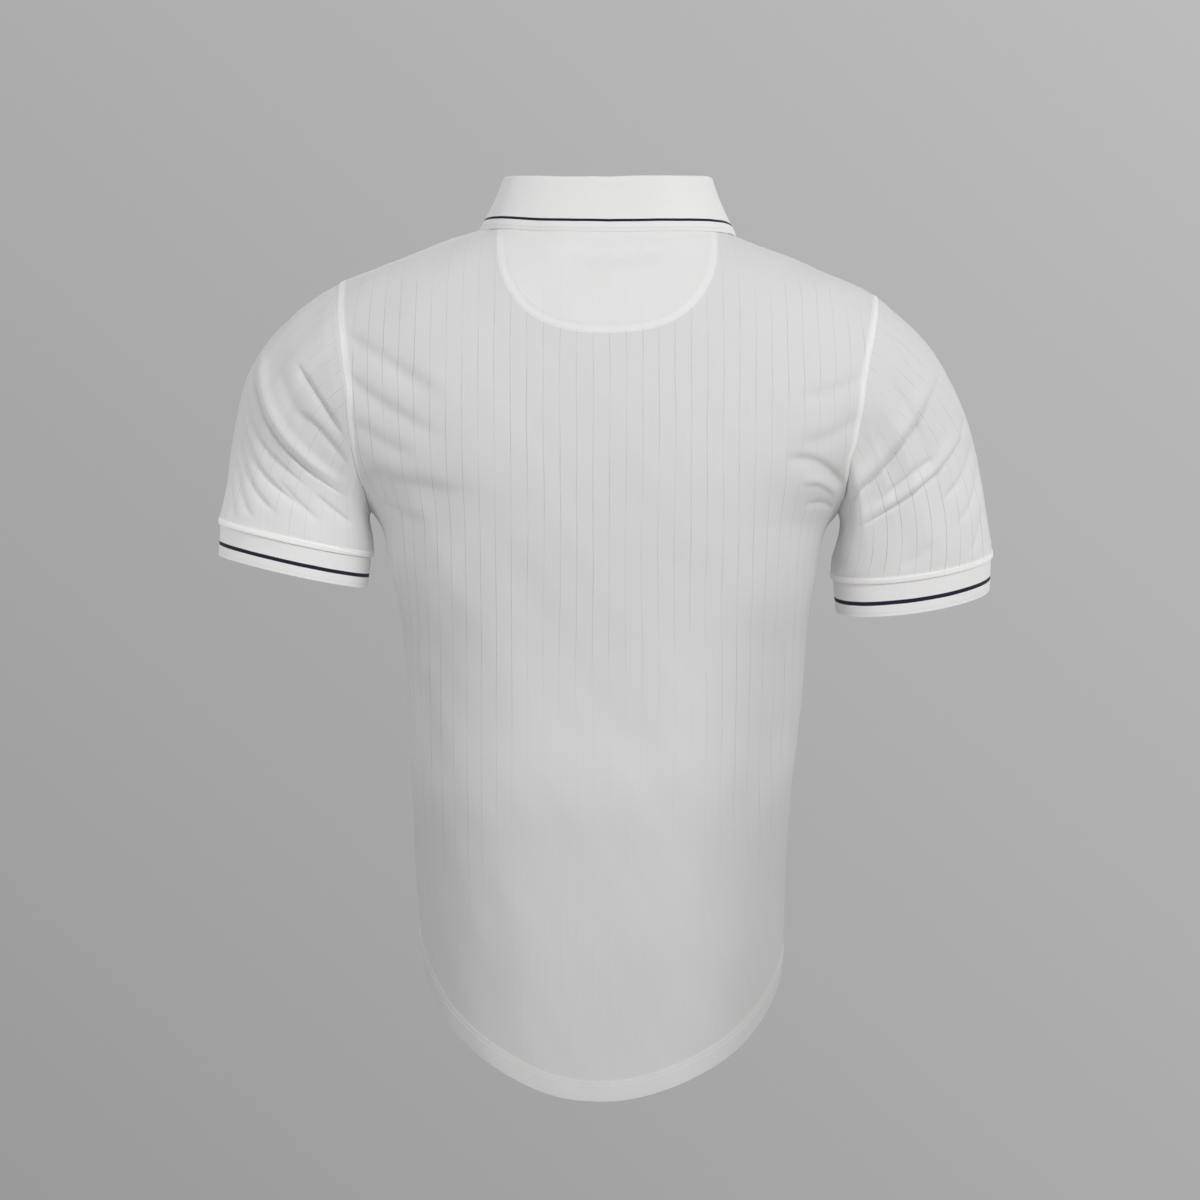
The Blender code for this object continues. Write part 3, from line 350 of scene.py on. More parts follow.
# ---- slight unevenness of worn cloth: wave lengths along X, Y and Z, phase, height, in mm ----
WAVES = (
    (210, 150, 330, 0.3, 0.70), (-130, 170, 190, 1.9, 0.45), (74, -90, 120, 4.1, 0.30),
    (-46, 58, 77, 2.2, 0.17), (29, 33, -51, 5.0, 0.09), (19, -23, 37, 0.9, 0.05),
)

# ---- colours ----
JERSEY, DOUBLE_JERSEY = (0.697, 0.696, 0.695), (0.880, 0.879, 0.875)
COLLAR_WHITE, CUFF_WHITE = (0.805, 0.803, 0.800), (0.850, 0.848, 0.845)
FACING_WHITE, THREAD_WHITE = (0.84, 0.84, 0.83), (0.80, 0.80, 0.79)
NAVY = (0.010, 0.012, 0.030)
BUTTON_TONES = (0.80, 0.79, 0.76), (0.90, 0.895, 0.875)
FLOOR_TONES = (0.58, 0.575, 0.57), (0.62, 0.615, 0.61)
# how far the navy line's two sides lie from the edge of the collar and the cuffs
COLLAR_LINE, CUFF_LINE = (0.0078, 0.0100), (0.0087, 0.0118)
RIB_PITCH, COURSE_PITCH = 0.0016, 0.0011

# ---- camera, lights and studio ----
CAMERA_AT = (0.0074, 3.0, -0.310)
LENS = 109.8
# name, place, size, spread in degrees, power; all of them face a point just above the neck
LIGHTS = (
    ("key", (-1.6, 2.2, 0.8), 1.2, 110, 13.1),
    ("fill", (2.0, 2.0, 0.0), 1.6, 110, 7.0),
    ("rim_right", (-2.2, -1.0, 0.4), 1.4, 180, 3),
    ("rim_left", (2.3, -0.6, 0.4), 1.4, 180, 6),
    ("front_light", (0.5, -2.6, 0.9), 1.4, 110, 6),
)
LIGHTS_AIM = (0, 0, 0.05)
STUDIO_GREY, STUDIO_SIDE, STUDIO_RISE, STUDIO_LIMITS = 0.417, -0.27, 0.30, (0.28, 0.56)
STUDIO_COLOUR = (1.0, 0.985, 0.985)
FLOOR_RADIUS, FLOOR_HEIGHT = 3.0, -1.42


# ======== curves and the worn shape ========

def cubic(start, end, lead, trail, t):
    """A curve from start to end that leaves along lead and arrives along trail."""
    middle = start * (2 * t**3 - 3 * t**2 + 1) + end * (3 * t**2 - 2 * t**3)
    return middle + lead * (t**3 - 2 * t**2 + t) + trail * (t**3 - t**2)


def bent(start, control, end, t):
    """A curve from start to end that is drawn towards a control point."""
    return start * (1 - t) ** 2 + control * 2 * t * (1 - t) + end * t**2


def through(rows, at, column=1):
    """A smooth curve through one column of a table, without overshoot; flat past its ends."""
    table = np.array(sorted(rows), float)
    knots, values = table[:, 0], table[:, column]
    steps = np.diff(knots)
    slopes = np.diff(values) / steps
    tangents = np.zeros_like(values)
    product = slopes[:-1] * slopes[1:]
    total = slopes[:-1] + slopes[1:]
    tangents[1:-1] = np.where(product > 0, 2 * product / np.where(total == 0, 1, total), 0)
    tangents[0], tangents[-1] = slopes[0], slopes[-1]
    at = np.clip(np.asarray(at, float), knots[0], knots[-1])
    i = np.clip(np.searchsorted(knots, at, side="right") - 1, 0, len(steps) - 1)
    t = (at - knots[i]) / steps[i]
    return cubic(values[i], values[i + 1], tangents[i] * steps[i], tangents[i + 1] * steps[i], t)


def eased(value, low, high):
    """A soft step from 0 to 1."""
    t = np.clip((value - low) / (high - low), 0, 1)
    return t * t * (3 - 2 * t)


def bell(value, middle, width):
    """A soft bump of height 1."""
    return np.exp(-(((value - middle) / width) ** 2))


def unit(vectors):
    length = np.linalg.norm(vectors, axis=-1, keepdims=True)
    return vectors / np.maximum(length, 1e-12)


def run_along(points):
    """Length of the way down each column of points, from its first to each of them."""
    step = np.linalg.norm(np.diff(points, axis=0), axis=-1)
    return np.concatenate([np.zeros((1, *step.shape[1:])), np.cumsum(step, axis=0)])


def at_run(rows, run, places):
    """The rows' values at places along their run."""
    return np.stack([np.interp(places, run, column) for column in rows.T], 1)


def half_width(x, z):
    """Half width of the shape at a height, on the side where x lies."""
    return np.where(x >= 0, through(LEFT_SIDE, z), through(RIGHT_SIDE, z))


def depth(z, face):
    return through(BACK_DEPTH if face > 0 else FRONT_DEPTH, z)


def on_body(x, z, face):
    """Points of the worn shape at (x, z), behind or in front, and their outward normals."""
    x, z = np.broadcast_arrays(np.asarray(x, float), np.asarray(z, float))
    half, deep = half_width(x, z), depth(z, face)
    half_slope = (half_width(x, z + PROBE) - half_width(x, z - PROBE)) / (2 * PROBE)
    deep_slope = (depth(z + PROBE, face) - depth(z - PROBE, face)) / (2 * PROBE)
    share = np.clip(np.abs(x) / half, 0, 1)
    rest = np.sqrt(1 - share**BODY_ROUNDNESS)
    points = np.stack([x, face * deep * rest, z], -1)
    slope_x = BODY_ROUNDNESS * share ** (BODY_ROUNDNESS - 1) / half * np.sign(x)
    slope_z = -BODY_ROUNDNESS * share**BODY_ROUNDNESS * half_slope / half
    slope_z = slope_z - 2 * rest**2 * deep_slope / deep
    normals = np.stack([slope_x, 2 * face * rest / deep, slope_z], -1)
    return points, unit(normals)


def girth(x, z, face):
    """Length along the body's level section from its middle plane to x, which a stripe keeps."""
    steps = np.linspace(0, 1, CURVE_STEPS)[:, None, None]
    across = x[None] * steps
    share = np.clip(np.abs(across) / half_width(x, z), 0, 1)
    out = depth(z, face) * np.sqrt(1 - share**BODY_ROUNDNESS)
    run = np.hypot(np.diff(across, axis=0), np.diff(out, axis=0)).sum(0)
    return run * np.sign(x)


# ======== folds ========

def curve_points(start, middle, end):
    """A parabola's arc through three points."""
    control = 2 * middle - (start + end) / 2
    return bent(start, control, end, np.linspace(0, 1, CURVE_STEPS)[:, None])


def off_curve(flat, curve):
    """Each flat point's share along a curve, and its signed distance, positive below the curve."""
    best = np.full(len(flat), np.inf)
    share, signed = np.zeros(len(flat)), np.zeros(len(flat))
    down = 1 if curve[-1, 0] < curve[0, 0] else -1
    for number, (a, b) in enumerate(zip(curve[:-1], curve[1:])):
        run = b - a
        t = np.clip((flat - a) @ run / (run @ run), 0, 1)
        off = flat - a - t[:, None] * run
        distance = np.hypot(off[:, 0], off[:, 1])
        side = np.sign(off[:, 1] * run[0] - off[:, 0] * run[1]) * down
        nearer = distance < best
        best = np.where(nearer, distance, best)
        share = np.where(nearer, (number + t) / (len(curve) - 1), share)
        signed = np.where(nearer, distance * side, signed)
    return share, signed


def fold_lift(piece, points):
    """How far the folds of a piece raise or sink its cloth at each point."""
    flat = points[..., [0, 2]].reshape(-1, 2)
    y = points[..., 1].reshape(-1)
    total = np.zeros(len(flat))
    rows = [(face, row) for (owner, face), table in FOLDS.items() if owner == piece for row in table]
    for face, row in rows:
        fold = dict(zip(FOLD_COLUMNS, row))
        ends = [np.array((fold[f"x{i}"], fold[f"z{i}"])) * MM for i in range(3)]
        share, off = off_curve(flat, curve_points(*ends))
        over, under = fold["over"] * MM, fold["under"] * MM
        away = np.abs(off) / np.where(off < 0, over, under)
        shape = fold["height"] * np.exp(-(away ** fold["power"]))
        lip = np.exp(-((np.abs(off - LIP_PLACE * under) / LIP_WIDTH) ** LIP_POWER))
        fade = eased(share, -FOLD_PAST, FOLD_FADE) * (1 - eased(share, 1 - FOLD_FADE, 1 + FOLD_PAST))
        total += (shape - fold["lip"] * lip) * fade * eased(face * y, *FOLD_SIDE) * MM
    return total.reshape(points.shape[:-1])


def unevenness(points):
    """The slight waves of worn cloth."""
    x, y, z = (points[..., axis] / MM for axis in range(3))
    total = np.zeros(points.shape[:-1])
    for long_x, long_y, long_z, phase, height in WAVES:
        total += height * np.sin(2 * math.pi * (x / long_x + y / long_y + z / long_z) + phase)
    return total * MM


def body_cloth(x, z, face):
    """The cloth's points at (x, z) with its folds, its normals, and how far the folds lift it."""
    points, normals = on_body(x, z, face)
    lift = fold_lift("back" if face > 0 else "front", points) + unevenness(points)
    return points + normals * lift[..., None], normals, lift


def line_distance(points, line):
    """Distance from each point to a line of many points."""
    flat = points.reshape(-1, 3)
    a, run = line[:-1], np.diff(line, axis=0)
    square = np.maximum((run**2).sum(1), 1e-12)
    found = []
    for part in np.array_split(flat, max(1, len(flat) // 4000)):
        off = part[:, None] - a
        t = np.clip((off * run).sum(2) / square, 0, 1)
        found.append(np.linalg.norm(off - t[..., None] * run, axis=2).min(1))
    return np.concatenate(found).reshape(points.shape[:-1])


# ======== meshes ========

def new_object(name, points, faces):
    mesh = bpy.data.meshes.new(name)
    mesh.from_pydata(points.tolist(), [], faces)
    mesh.update()
    mesh.shade_smooth()
    made = bpy.data.objects.new(name, mesh)
    bpy.context.scene.collection.objects.link(made)
    return made


def shell(name, outer, inner, marks, closed=False, keep=None):
    """A thin closed wall between two grids of points. Marks are numbers stored on its points."""
    grid = outer.shape[:2]
    count = grid[0] * grid[1]
    index = np.arange(count).reshape(grid)
    if closed:
        index = np.concatenate([index, index[:, :1]], 1)
    cells = np.stack([index[:-1, :-1], index[:-1, 1:], index[1:, 1:], index[1:, :-1]], -1)
    cells = cells.reshape(-1, 4) if keep is None else cells[keep]
    ends = np.concatenate([cells[:, [k, (k + 1) % 4]] for k in range(4)])
    shared = np.isin(ends @ (count, 1), ends @ (1, count))
    start, end = ends[~shared].T
    rim = np.stack([end, start, start + count, end + count], -1)
    faces = np.concatenate([cells, cells[:, ::-1] + count, rim])
    points = np.concatenate([outer.reshape(-1, 3), inner.reshape(-1, 3)])
    used, faces = np.unique(faces, return_inverse=True)
    faces = faces.reshape(-1, 4)
    corners = points[used][faces]
    normal = np.cross(corners[:, 2] - corners[:, 0], corners[:, 3] - corners[:, 1])
    if (corners.mean(1) * normal).sum() < 0:
        faces = faces[:, ::-1]
    made = new_object(name, points[used], faces.tolist())
    stored = {label: np.tile(np.broadcast_to(value, grid).reshape(-1), 2) for label, value in marks.items()}
    stored["inside"] = np.repeat((0.0, 1.0), count)
    for label, values in stored.items():
        attribute = made.data.attributes.new(label, "FLOAT", "POINT")
        attribute.data.foreach_set("value", values[used].astype(np.float32))
    made.data.set_sharp_from_angle(angle=SHARP)
    return made


# ======== panels ========

def neck_angles(face):
    """Angles of the neckline's columns from the middle of that side to the shoulder seam."""
    if face > 0:
        return np.linspace(0, 90, NECK_STEPS + 1)
    near = np.degrees(np.arcsin(NOTCH_HALF * np.linspace(0, 1, NOTCH_STEPS + 1) / NECK_HALF))
    return np.concatenate([near, np.linspace(near[-1], 90, NECK_STEPS - NOTCH_STEPS + 1)[1:]])


def neck_height(angles, sign, face):
    low = BACK_NECK if face > 0 else FRONT_NECK
    return low + (SIDES[sign].top - low) * (1 - np.cos(np.radians(angles)))


def armhole_edge(sign, face, z, rise=None):
    """Distance of the armhole seam from the middle, at a height and its share of the armhole's."""
    side = SIDES[sign]
    if rise is None:
        rise = np.clip((z - side.pit) / (side.tip - side.pit), 0, 1)
    scoop = 0 if face > 0 else FRONT_ARMHOLE_SCOOP
    return through(side.armhole, z) - scoop * np.sin(math.pi * rise) ** 2


def hem_height(angles, face):
    """Height of the hem's edge at these angles, its table smoothed over neighbouring angles."""
    rows = BACK_HEM if face > 0 else FRONT_HEM
    near = [np.clip(angles + off, -90, 90) for off in HEM_SMOOTHING]
    return sum(through(rows, angle) for angle in near) / len(near)


def arm_band(sign, z):
    """Width of the stitched band beside the armhole seam at a height."""
    side = SIDES[sign]
    low, high = side.band
    return low + (high - low) * eased(z, side.pit, 0.7 * side.tip + 0.3 * side.pit)


def panel_half(sign, face):
    """Grid of (x, z) for half a panel: rows from hem to top, columns from the middle out."""
    side = SIDES[sign]
    angles = neck_angles(face)
    bunched = 1 - (1 - np.linspace(0, 1, SHOULDER_STEPS + 1)[1:]) ** 1.5
    shoulder_z = side.top + (side.tip - side.top) * bunched
    top_x = np.concatenate([NECK_HALF * np.sin(np.radians(angles)), half_width(sign, shoulder_z)])
    top_z = np.concatenate([neck_height(angles, sign, face), shoulder_z])
    columns = len(top_x)
    turn = np.linspace(0, math.pi / 2, columns)
    if face < 0:
        first = math.asin(NOTCH_HALF / half_width(1, NOTCH_END))
        beyond = np.linspace(first, math.pi / 2, columns - NOTCH_STEPS)
        turn = np.concatenate([np.linspace(0, first, NOTCH_STEPS + 1)[:-1], beyond])
    bottom = hem_height(np.degrees(turn) * sign, face)
    middle_pit = (LEFT_PIT + RIGHT_PIT) / 2
    pit = middle_pit + (side.pit - middle_pit) * np.sin(turn)
    low = np.linspace(0, 1, BODY_ROWS + 1)[:-1, None]
    high = (1 - np.cos(np.linspace(0, math.pi, ARMHOLE_ROWS + 1)))[:, None] / 2
    z = np.concatenate([bottom + (pit - bottom) * low, pit + (top_z - pit) * high])
    rise = np.concatenate([np.zeros(BODY_ROWS), high[:, 0]])[:, None]
    edge = np.where(rise > 0, armhole_edge(sign, face, z, rise), half_width(sign, z))
    blend = eased(rise, 0, ARMHOLE_BLEND)
    x = edge * (blend * top_x / TIP_HALF + (1 - blend) * np.sin(turn))
    if face < 0:
        notch = x[:, NOTCH_STEPS:NOTCH_STEPS + 1].copy()
        x = NOTCH_HALF + (x - notch) * (edge - NOTCH_HALF) / (edge - notch)
        x[:, :NOTCH_STEPS + 1] = np.linspace(0, NOTCH_HALF, NOTCH_STEPS + 1)
    x[-1] = top_x
    return sign * x, z


def panel_flat(face):
    """The whole front's or back's grid of (x, z), columns from -X to +X."""
    halves = zip(panel_half(-1, face), panel_half(1, face))
    return [np.concatenate([right[:, :0:-1], left], 1) for right, left in halves]


def armhole_line(sign):
    """The armhole seam down the back and up the front, evenly stepped, and its normals."""
    side = SIDES[sign]
    fine = (1 - np.cos(np.linspace(0, math.pi, 4 * RING_BACK))) / 2
    z = side.tip + (side.pit - side.tip) * fine
    halves = []
    for face, steps in ((1, RING_BACK), (-1, RING_FRONT)):
        points, normals, _ = body_cloth(sign * armhole_edge(sign, face, z), z, face)
        run = run_along(points)
        even = np.linspace(0, run[-1], steps + 1)
        halves.append([at_run(rows, run, even) for rows in (points, normals)])
    points, normals = (np.concatenate([back, front[-2:0:-1]]) for back, front in zip(*halves))
    return points, unit(normals)


def moon_depth(x, z):
    """Signed distance inside the half-moon's edge, roughly, in metres."""
    across = np.clip(np.abs(x - MOON_MIDDLE) / MOON_HALF, 0, 2)
    down = np.clip((z - MOON_TOP) / (MOON_BOTTOM - MOON_TOP), 0, 2)
    level = (across**MOON_POWER + down**MOON_POWER) ** (1 / MOON_POWER)
    from_top = np.where(level > 0, np.hypot(x - MOON_MIDDLE, z - MOON_TOP), 0)
    return (1 - level) * from_top / np.maximum(level, 0.05)


def moon_edge(turn, inset=0.0):
    """Points (x, z) of the half-moon's lower edge at these turns, moved inwards by an inset."""
    power = 2 / MOON_POWER
    x = MOON_MIDDLE + (MOON_HALF - inset) * np.sign(turn) * np.abs(np.sin(turn)) ** power
    return x, MOON_TOP + (MOON_BOTTOM - MOON_TOP + inset) * np.cos(turn) ** power


def build_panel(name, face):
    """The back or the front, with its folds, raised bands and sunk seams."""
    x, z = panel_flat(face)
    points, normals, lift = body_cloth(x, z, face)
    top = points[-1]
    seams = {sign: line_distance(points, armhole_line(sign)[0]) for sign in SIDES}
    ends = top[:SHOULDER_STEPS + 1], top[-SHOULDER_STEPS - 1:]
    edges = points[:BODY_ROWS + 1, 0], points[:BODY_ROWS + 1, -1]
    arm = np.minimum(*[seams[sign] * SEAM_BAND / arm_band(sign, z) for sign in SIDES])
    shoulder, side = (np.minimum(*[line_distance(points, line) for line in pair])
                      for pair in (ends, edges))
    hem = line_distance(points, points[0])
    moon = moon_depth(x, z) if face > 0 else np.full(x.shape, -FAR)
    relief = ARM_RAISED * eased(arm, *ARM_RISE) * (1 - eased(arm, *ARM_FALL))
    relief -= SEAM_DITCH * bell(np.minimum(*seams.values()), 0, DITCH_WIDTH)
    relief -= SIDE_DITCH * (bell(side, 0, DITCH_WIDTH) + bell(shoulder, 0, DITCH_WIDTH))
    relief += HEM_RAISED * (1 - eased(hem, *HEM_FALL))
    relief -= HEM_DITCH * bell(hem, HEM_BAND, FINE_DITCH_WIDTH)
    if face > 0:
        neck = line_distance(points, top[SHOULDER_STEPS:-SHOULDER_STEPS])
        relief -= NECK_DITCH * bell(neck, NECK_LINE, FINE_DITCH_WIDTH)
        relief += MOON_RAISED * eased(moon, *MOON_RISE)
    outer = points + normals * relief[..., None]
    outer[0] -= normals[0] * HEM_TUCK
    reach = z + SIDE_STRIPES * eased(np.abs(x), *STRIPES_SIDES)
    strength = STRIPES_LOW + (1 - STRIPES_LOW) * eased(reach, *STRIPES_FADE)
    strength *= STRIPES_RIGHT + (1 - STRIPES_RIGHT) * eased(x, *STRIPES_ACROSS)
    sideways = np.abs(x) / half_width(x, z)
    # painted shade: the cloth is painted darker towards its sides, low down
    tone = 1 - SIDE_SHADE * eased(sideways, *SIDE_SHADE_SHARES) * (1 - eased(z, *SIDE_SHADE_HEIGHTS))
    marks = {
        "stripe": girth(x, z, face) + lift * 0.6,
        "strength": strength * (1 - SHOULDERS_LOSE * eased(z, *SHOULDERS_FADE)),
        "dash": DASH_LEAST,
        # the tone mark holds the painted shade at the sides and low down
        "tone": tone * (1 - LOW_SHADE * (1 - eased(z, *LOW_SHADE_HEIGHTS))),
        "hem": hem, "hem_tone": 1 - HEM_LESS * eased(sideways, *HEM_LESS_SHARES),
        "arm": arm, "moon": moon, "end": FAR,
    }
    keep = None
    if face < 0:
        middle = x.shape[1] // 2
        keep = np.ones((x.shape[0] - 1, x.shape[1] - 1), bool)
        first = int(np.argmin(np.abs(z[:, middle] - NOTCH_END)))
        keep[first:, middle - NOTCH_STEPS:middle + NOTCH_STEPS] = False
    made = shell(name, outer, outer - normals * CLOTH, marks, keep=keep)
    return made, outer, normals


# ======== sleeves and cuffs ========

def ring_share():
    """Share of the way round the armhole, 0 at the shoulder tip and 1 at the underarm, signed by face."""
    return np.concatenate([np.linspace(0, 1, RING_BACK + 1), -np.linspace(1, 0, RING_FRONT + 1)[1:-1]])


def end_ring(sign, share, wide, deep, shift=(0, 0), down=0.0):
    """A tilted oval round the arm, its points in step with the armhole's, and its axis."""
    sleeve = SLEEVES[sign]
    tilt, forward = math.radians(sleeve["tilt"]), math.radians(sleeve["forward"])
    out = np.array([sign * math.cos(tilt), 0, math.sin(tilt)])
    behind = np.array([0, math.cos(forward), -math.sin(forward)])
    axis = unit(np.cross(out, behind) * sign)
    axis = -axis if axis[2] > 0 else axis
    middle = np.array(sleeve["middle"]) + axis * down + np.array([shift[0], 0, shift[1]])
    turn = math.pi * share[:, None]
    points = middle + out * wide * np.cos(turn) + behind * deep * np.sin(turn)
    normals = unit(out * deep * np.cos(turn) + behind * wide * np.sin(turn))
    return points, normals, axis


def sleeve_grid(sign):
    """A sleeve as a loft from the armhole to its tilted oval end: its points, normals and marks."""
    sleeve = SLEEVES[sign]
    start, body_normals = armhole_line(sign)
    share = ring_share()
    end, end_normals, axis = end_ring(sign, share, sleeve["wide"], sleeve["deep"])
    lead, under = (np.array([sign * x, 0, z]) for x, z in (SLEEVE_LEAD, UNDERARM_LEAD))
    flat = lead - body_normals * (body_normals @ lead)[:, None]
    cap = eased(1 - np.abs(share), *UNDERARM_SHARE)[:, None]
    begin = unit(unit(flat) * cap + under * (1 - cap))
    reach = np.linalg.norm(end - start, axis=1, keepdims=True)
    pull = reach * (UNDERARM_PULL + (sleeve["pull"] - UNDERARM_PULL) * cap)
    t = np.linspace(0, 1, SLEEVE_ROWS + 1)[:, None, None]
    points = cubic(start, end, begin * pull, axis * pull, t)
    around = np.roll(points, -1, 1) - np.roll(points, 1, 1)
    normals = unit(np.cross(around, np.gradient(points, axis=0)))
    normals = normals * np.sign(np.sum((points - points.mean(1, keepdims=True)) * normals))
    normals[-1] = end_normals
    from_seam, from_end = run_along(points), run_along(points[::-1])[::-1]
    lift = fold_lift(f"sleeve_{SIDES[sign].name}", points) + unevenness(points)
    lift *= eased(from_seam, 0, SEAM_CALM) * eased(from_end, 0, END_CALM)
    lift += END_RAISED * eased(from_end, *END_RISE) * (1 - eased(from_end, *END_FALL))
    lift -= SEAM_DITCH * bell(from_seam, 0, DITCH_WIDTH)
    gaps = np.linalg.norm(np.roll(points, -1, 1) - points, axis=2)
    behind = np.cumsum(gaps, axis=1) - gaps
    from_top = np.minimum(behind, gaps.sum(1, keepdims=True) - behind)
    outline = np.hypot(sign * points[:, :1, 0] - STRIPE_CENTRE[0], points[:, :1, 2] - STRIPE_CENTRE[1])
    on_cap = eased(points[..., 2], *SLEEVE_DASHES)
    top_fade = 1 - on_cap * (1 - eased(from_top, *TOP_FADE))
    marks = {
        "stripe": outline - np.hypot(from_top, STRIPE_ROUND) + lift * 0.3,
        "strength": (sleeve["stripes"] + (CAP_STRIPES - sleeve["stripes"]) * on_cap) * top_fade,
        "dash": DASH_LEAST + (1 - DASH_LEAST) * on_cap,
        # painted light: the sleeve is painted lighter below its cap, by its white
        "tone": 1 + sleeve["white"] * (1 - on_cap),
        "end": from_end, "arm": from_seam + SEAM_BAND * 1.3,
    }
    marks = {label: np.concatenate([values[:1], values[:1], values]) for label, values in marks.items()}
    marks.update(hem=FAR, moon=-FAR)
    inward = unit(np.cross(np.roll(start, -1, 0) - np.roll(start, 1, 0), body_normals))
    inward *= -np.sign(np.sum(inward * begin, axis=1, keepdims=True))
    tucked = start - body_normals * (CLOTH + 2 * SEAM_GAP)
    outer = [tucked + inward * ALLOWANCE, tucked + inward * CLOTH, *(points + normals * lift[..., None])]
    return np.stack(outer), np.stack([body_normals, body_normals, *normals]), marks


def build_cuff(name, sign):
    """A short oval knit band just below the sleeve's end."""
    sleeve = SLEEVES[sign]
    share = ring_share()
    outers, inners = [], []
    wide, deep = sleeve["wide"] - CUFF_STEP, sleeve["deep"] - CUFF_STEP
    for t in np.linspace(0, 1, CUFF_ROWS):
        shift = tuple(t * value for value in sleeve["cuff_shift"])
        size = wide + (sleeve["cuff_wide"] - wide) * t
        ring, normals, _ = end_ring(sign, share, size, deep, shift, SEAM_GAP + CUFF_HEIGHT * t)
        ring = ring + normals * (unevenness(ring) * CUFF_UNEVEN * eased(t, 0, CUFF_CALM))[:, None]
        outers.append(ring)
        inners.append(ring - normals * RIB)
    marks = {
        "edge": (1 - np.linspace(0, 1, CUFF_ROWS))[:, None] * CUFF_HEIGHT,
        "rib": share * math.pi * (sleeve["wide"] + sleeve["deep"]) / 2,
    }
    return shell(name, np.stack(outers), np.stack(inners), marks, closed=True)


# ======== collar, facing and placket ========

def neckline(face):
    """Points of one side's neckline, from -X to +X, and the stand's way up from it."""
    x, z = panel_flat(face)
    span = slice(SHOULDER_STEPS, -SHOULDER_STEPS)
    points, normals, _ = body_cloth(x[-1, span], z[-1, span], face)
    up = unit(np.cross(np.gradient(points, axis=0), normals))
    up *= np.sign(up[:, 2:3])
    return points, unit(STAND_LEAN * up + (1 - STAND_LEAN) * np.array([0, 0, 1.0]))


def collar_stations():
    """The neckline's points from the right front end round the back to the left front end."""
    back, front = neckline(1), neckline(-1)
    angle_back, angle_front = neck_angles(1), neck_angles(-1)
    middle = len(angle_front) - 1
    right = np.arange(middle - NOTCH_STEPS, 0, -1)
    left = np.arange(2 * middle - 1, middle + NOTCH_STEPS - 1, -1)
    points, leads = (np.concatenate([before[right], behind, before[left]])
                     for before, behind in zip(front, back))
    side = 180 - angle_front[NOTCH_STEPS:-1]
    angles = np.concatenate([-side, -angle_back[:0:-1], angle_back, side[::-1]])
    return points, leads, angles


def body_level(x, y, z, face):
    """0 on the worn shape, more outside it and less inside."""
    return (np.abs(x) / half_width(x, z)) ** BODY_ROUNDNESS + (y / depth(z, face)) ** 2 - 1


def lifted(points, clearance):
    """Points of the collar moved out until they are this far off the worn shape."""
    points = points.copy()
    for _ in range(LIFT_PASSES):
        for face in (1, -1):
            mine = (points[..., 1] >= 0) == (face > 0)
            x, y, z = points[..., 0], points[..., 1], np.minimum(points[..., 2], 0)
            half, deep = half_width(x, z), depth(z, face)
            level = body_level(x, y, z, face)
            slope_x = BODY_ROUNDNESS * (np.abs(x) / half) ** (BODY_ROUNDNESS - 1) / half * np.sign(x)
            slope_z = (level - body_level(x, y, z - PROBE, face)) / PROBE
            slope = np.stack([slope_x, 2 * y / deep**2, slope_z], -1)
            size = np.linalg.norm(slope, axis=-1)
            gap = level / size + np.maximum(points[..., 2], 0)
            move = np.maximum(clearance - gap, 0) * mine
            points += slope / size[..., None] * move[..., None]
    return points


def collar_grid():
    """Middle line of the collar's wall by station: up the stand, over the fold, down to its edge."""
    points, leads, angles = collar_stations()
    sign = np.where(angles >= 0, 1.0, -1.0)
    turn = np.abs(angles)
    fold_share = through(COLLAR_FOLD, turn, 2)
    fold = np.stack([points[:, 0] * fold_share, points[:, 1] * fold_share, through(COLLAR_FOLD, turn)], -1)
    on_right = (sign < 0) * eased(turn, *COLLAR_RIGHT_FROM)
    narrower = 1 - (1 - COLLAR_RIGHT_SCALE) * on_right
    fold[:, 0] *= narrower
    edge_x = sign * through(COLLAR_EDGE, turn) * narrower
    edge_z = through(COLLAR_EDGE, turn, 2) - COLLAR_RIGHT_DROP * on_right
    edge_lift = through(COLLAR_EDGE, turn, 3)[:, None]
    behind, before = (place + out * edge_lift
                      for place, out in (on_body(edge_x, edge_z, face) for face in (1, -1)))
    edge = np.where((turn <= 90)[:, None], behind, before)
    near_side = bell(turn, 90, COLLAR_EVEN)[1:-1, None]
    for _ in range(EVEN_PASSES):
        evened = (edge[:-2] + 2 * edge[1:-1] + edge[2:]) / 4
        edge[1:-1] += (evened - edge[1:-1]) * near_side
    out = unit((edge - fold) * (1, 1, 0))
    base = points + leads * SEAM_GAP
    rows = []
    for t in np.linspace(0, 1, STAND_STEPS):
        rows.append(bent(base, base + leads * STAND_LEAD, fold, t))
    for turn_by in np.radians(FOLD_TURNS):
        rows.append(fold + out * FOLD_RADIUS * (1 + math.cos(turn_by))
                    + np.array([0, 0, FOLD_RADIUS]) * math.sin(turn_by))
    over = fold + out * 2 * FOLD_RADIUS
    for t in np.linspace(0, 1, LEAF_STEPS + 1):
        rows.append(over * (1 - t) + edge * t + COLLAR_BULGE * math.sin(math.pi * t) * out)
    grid = np.stack(rows)
    leaf = STAND_STEPS + len(FOLD_TURNS)
    grid[leaf:] = lifted(grid[leaf:], through(COLLAR_CLEARANCE, turn)[None, :])
    return grid


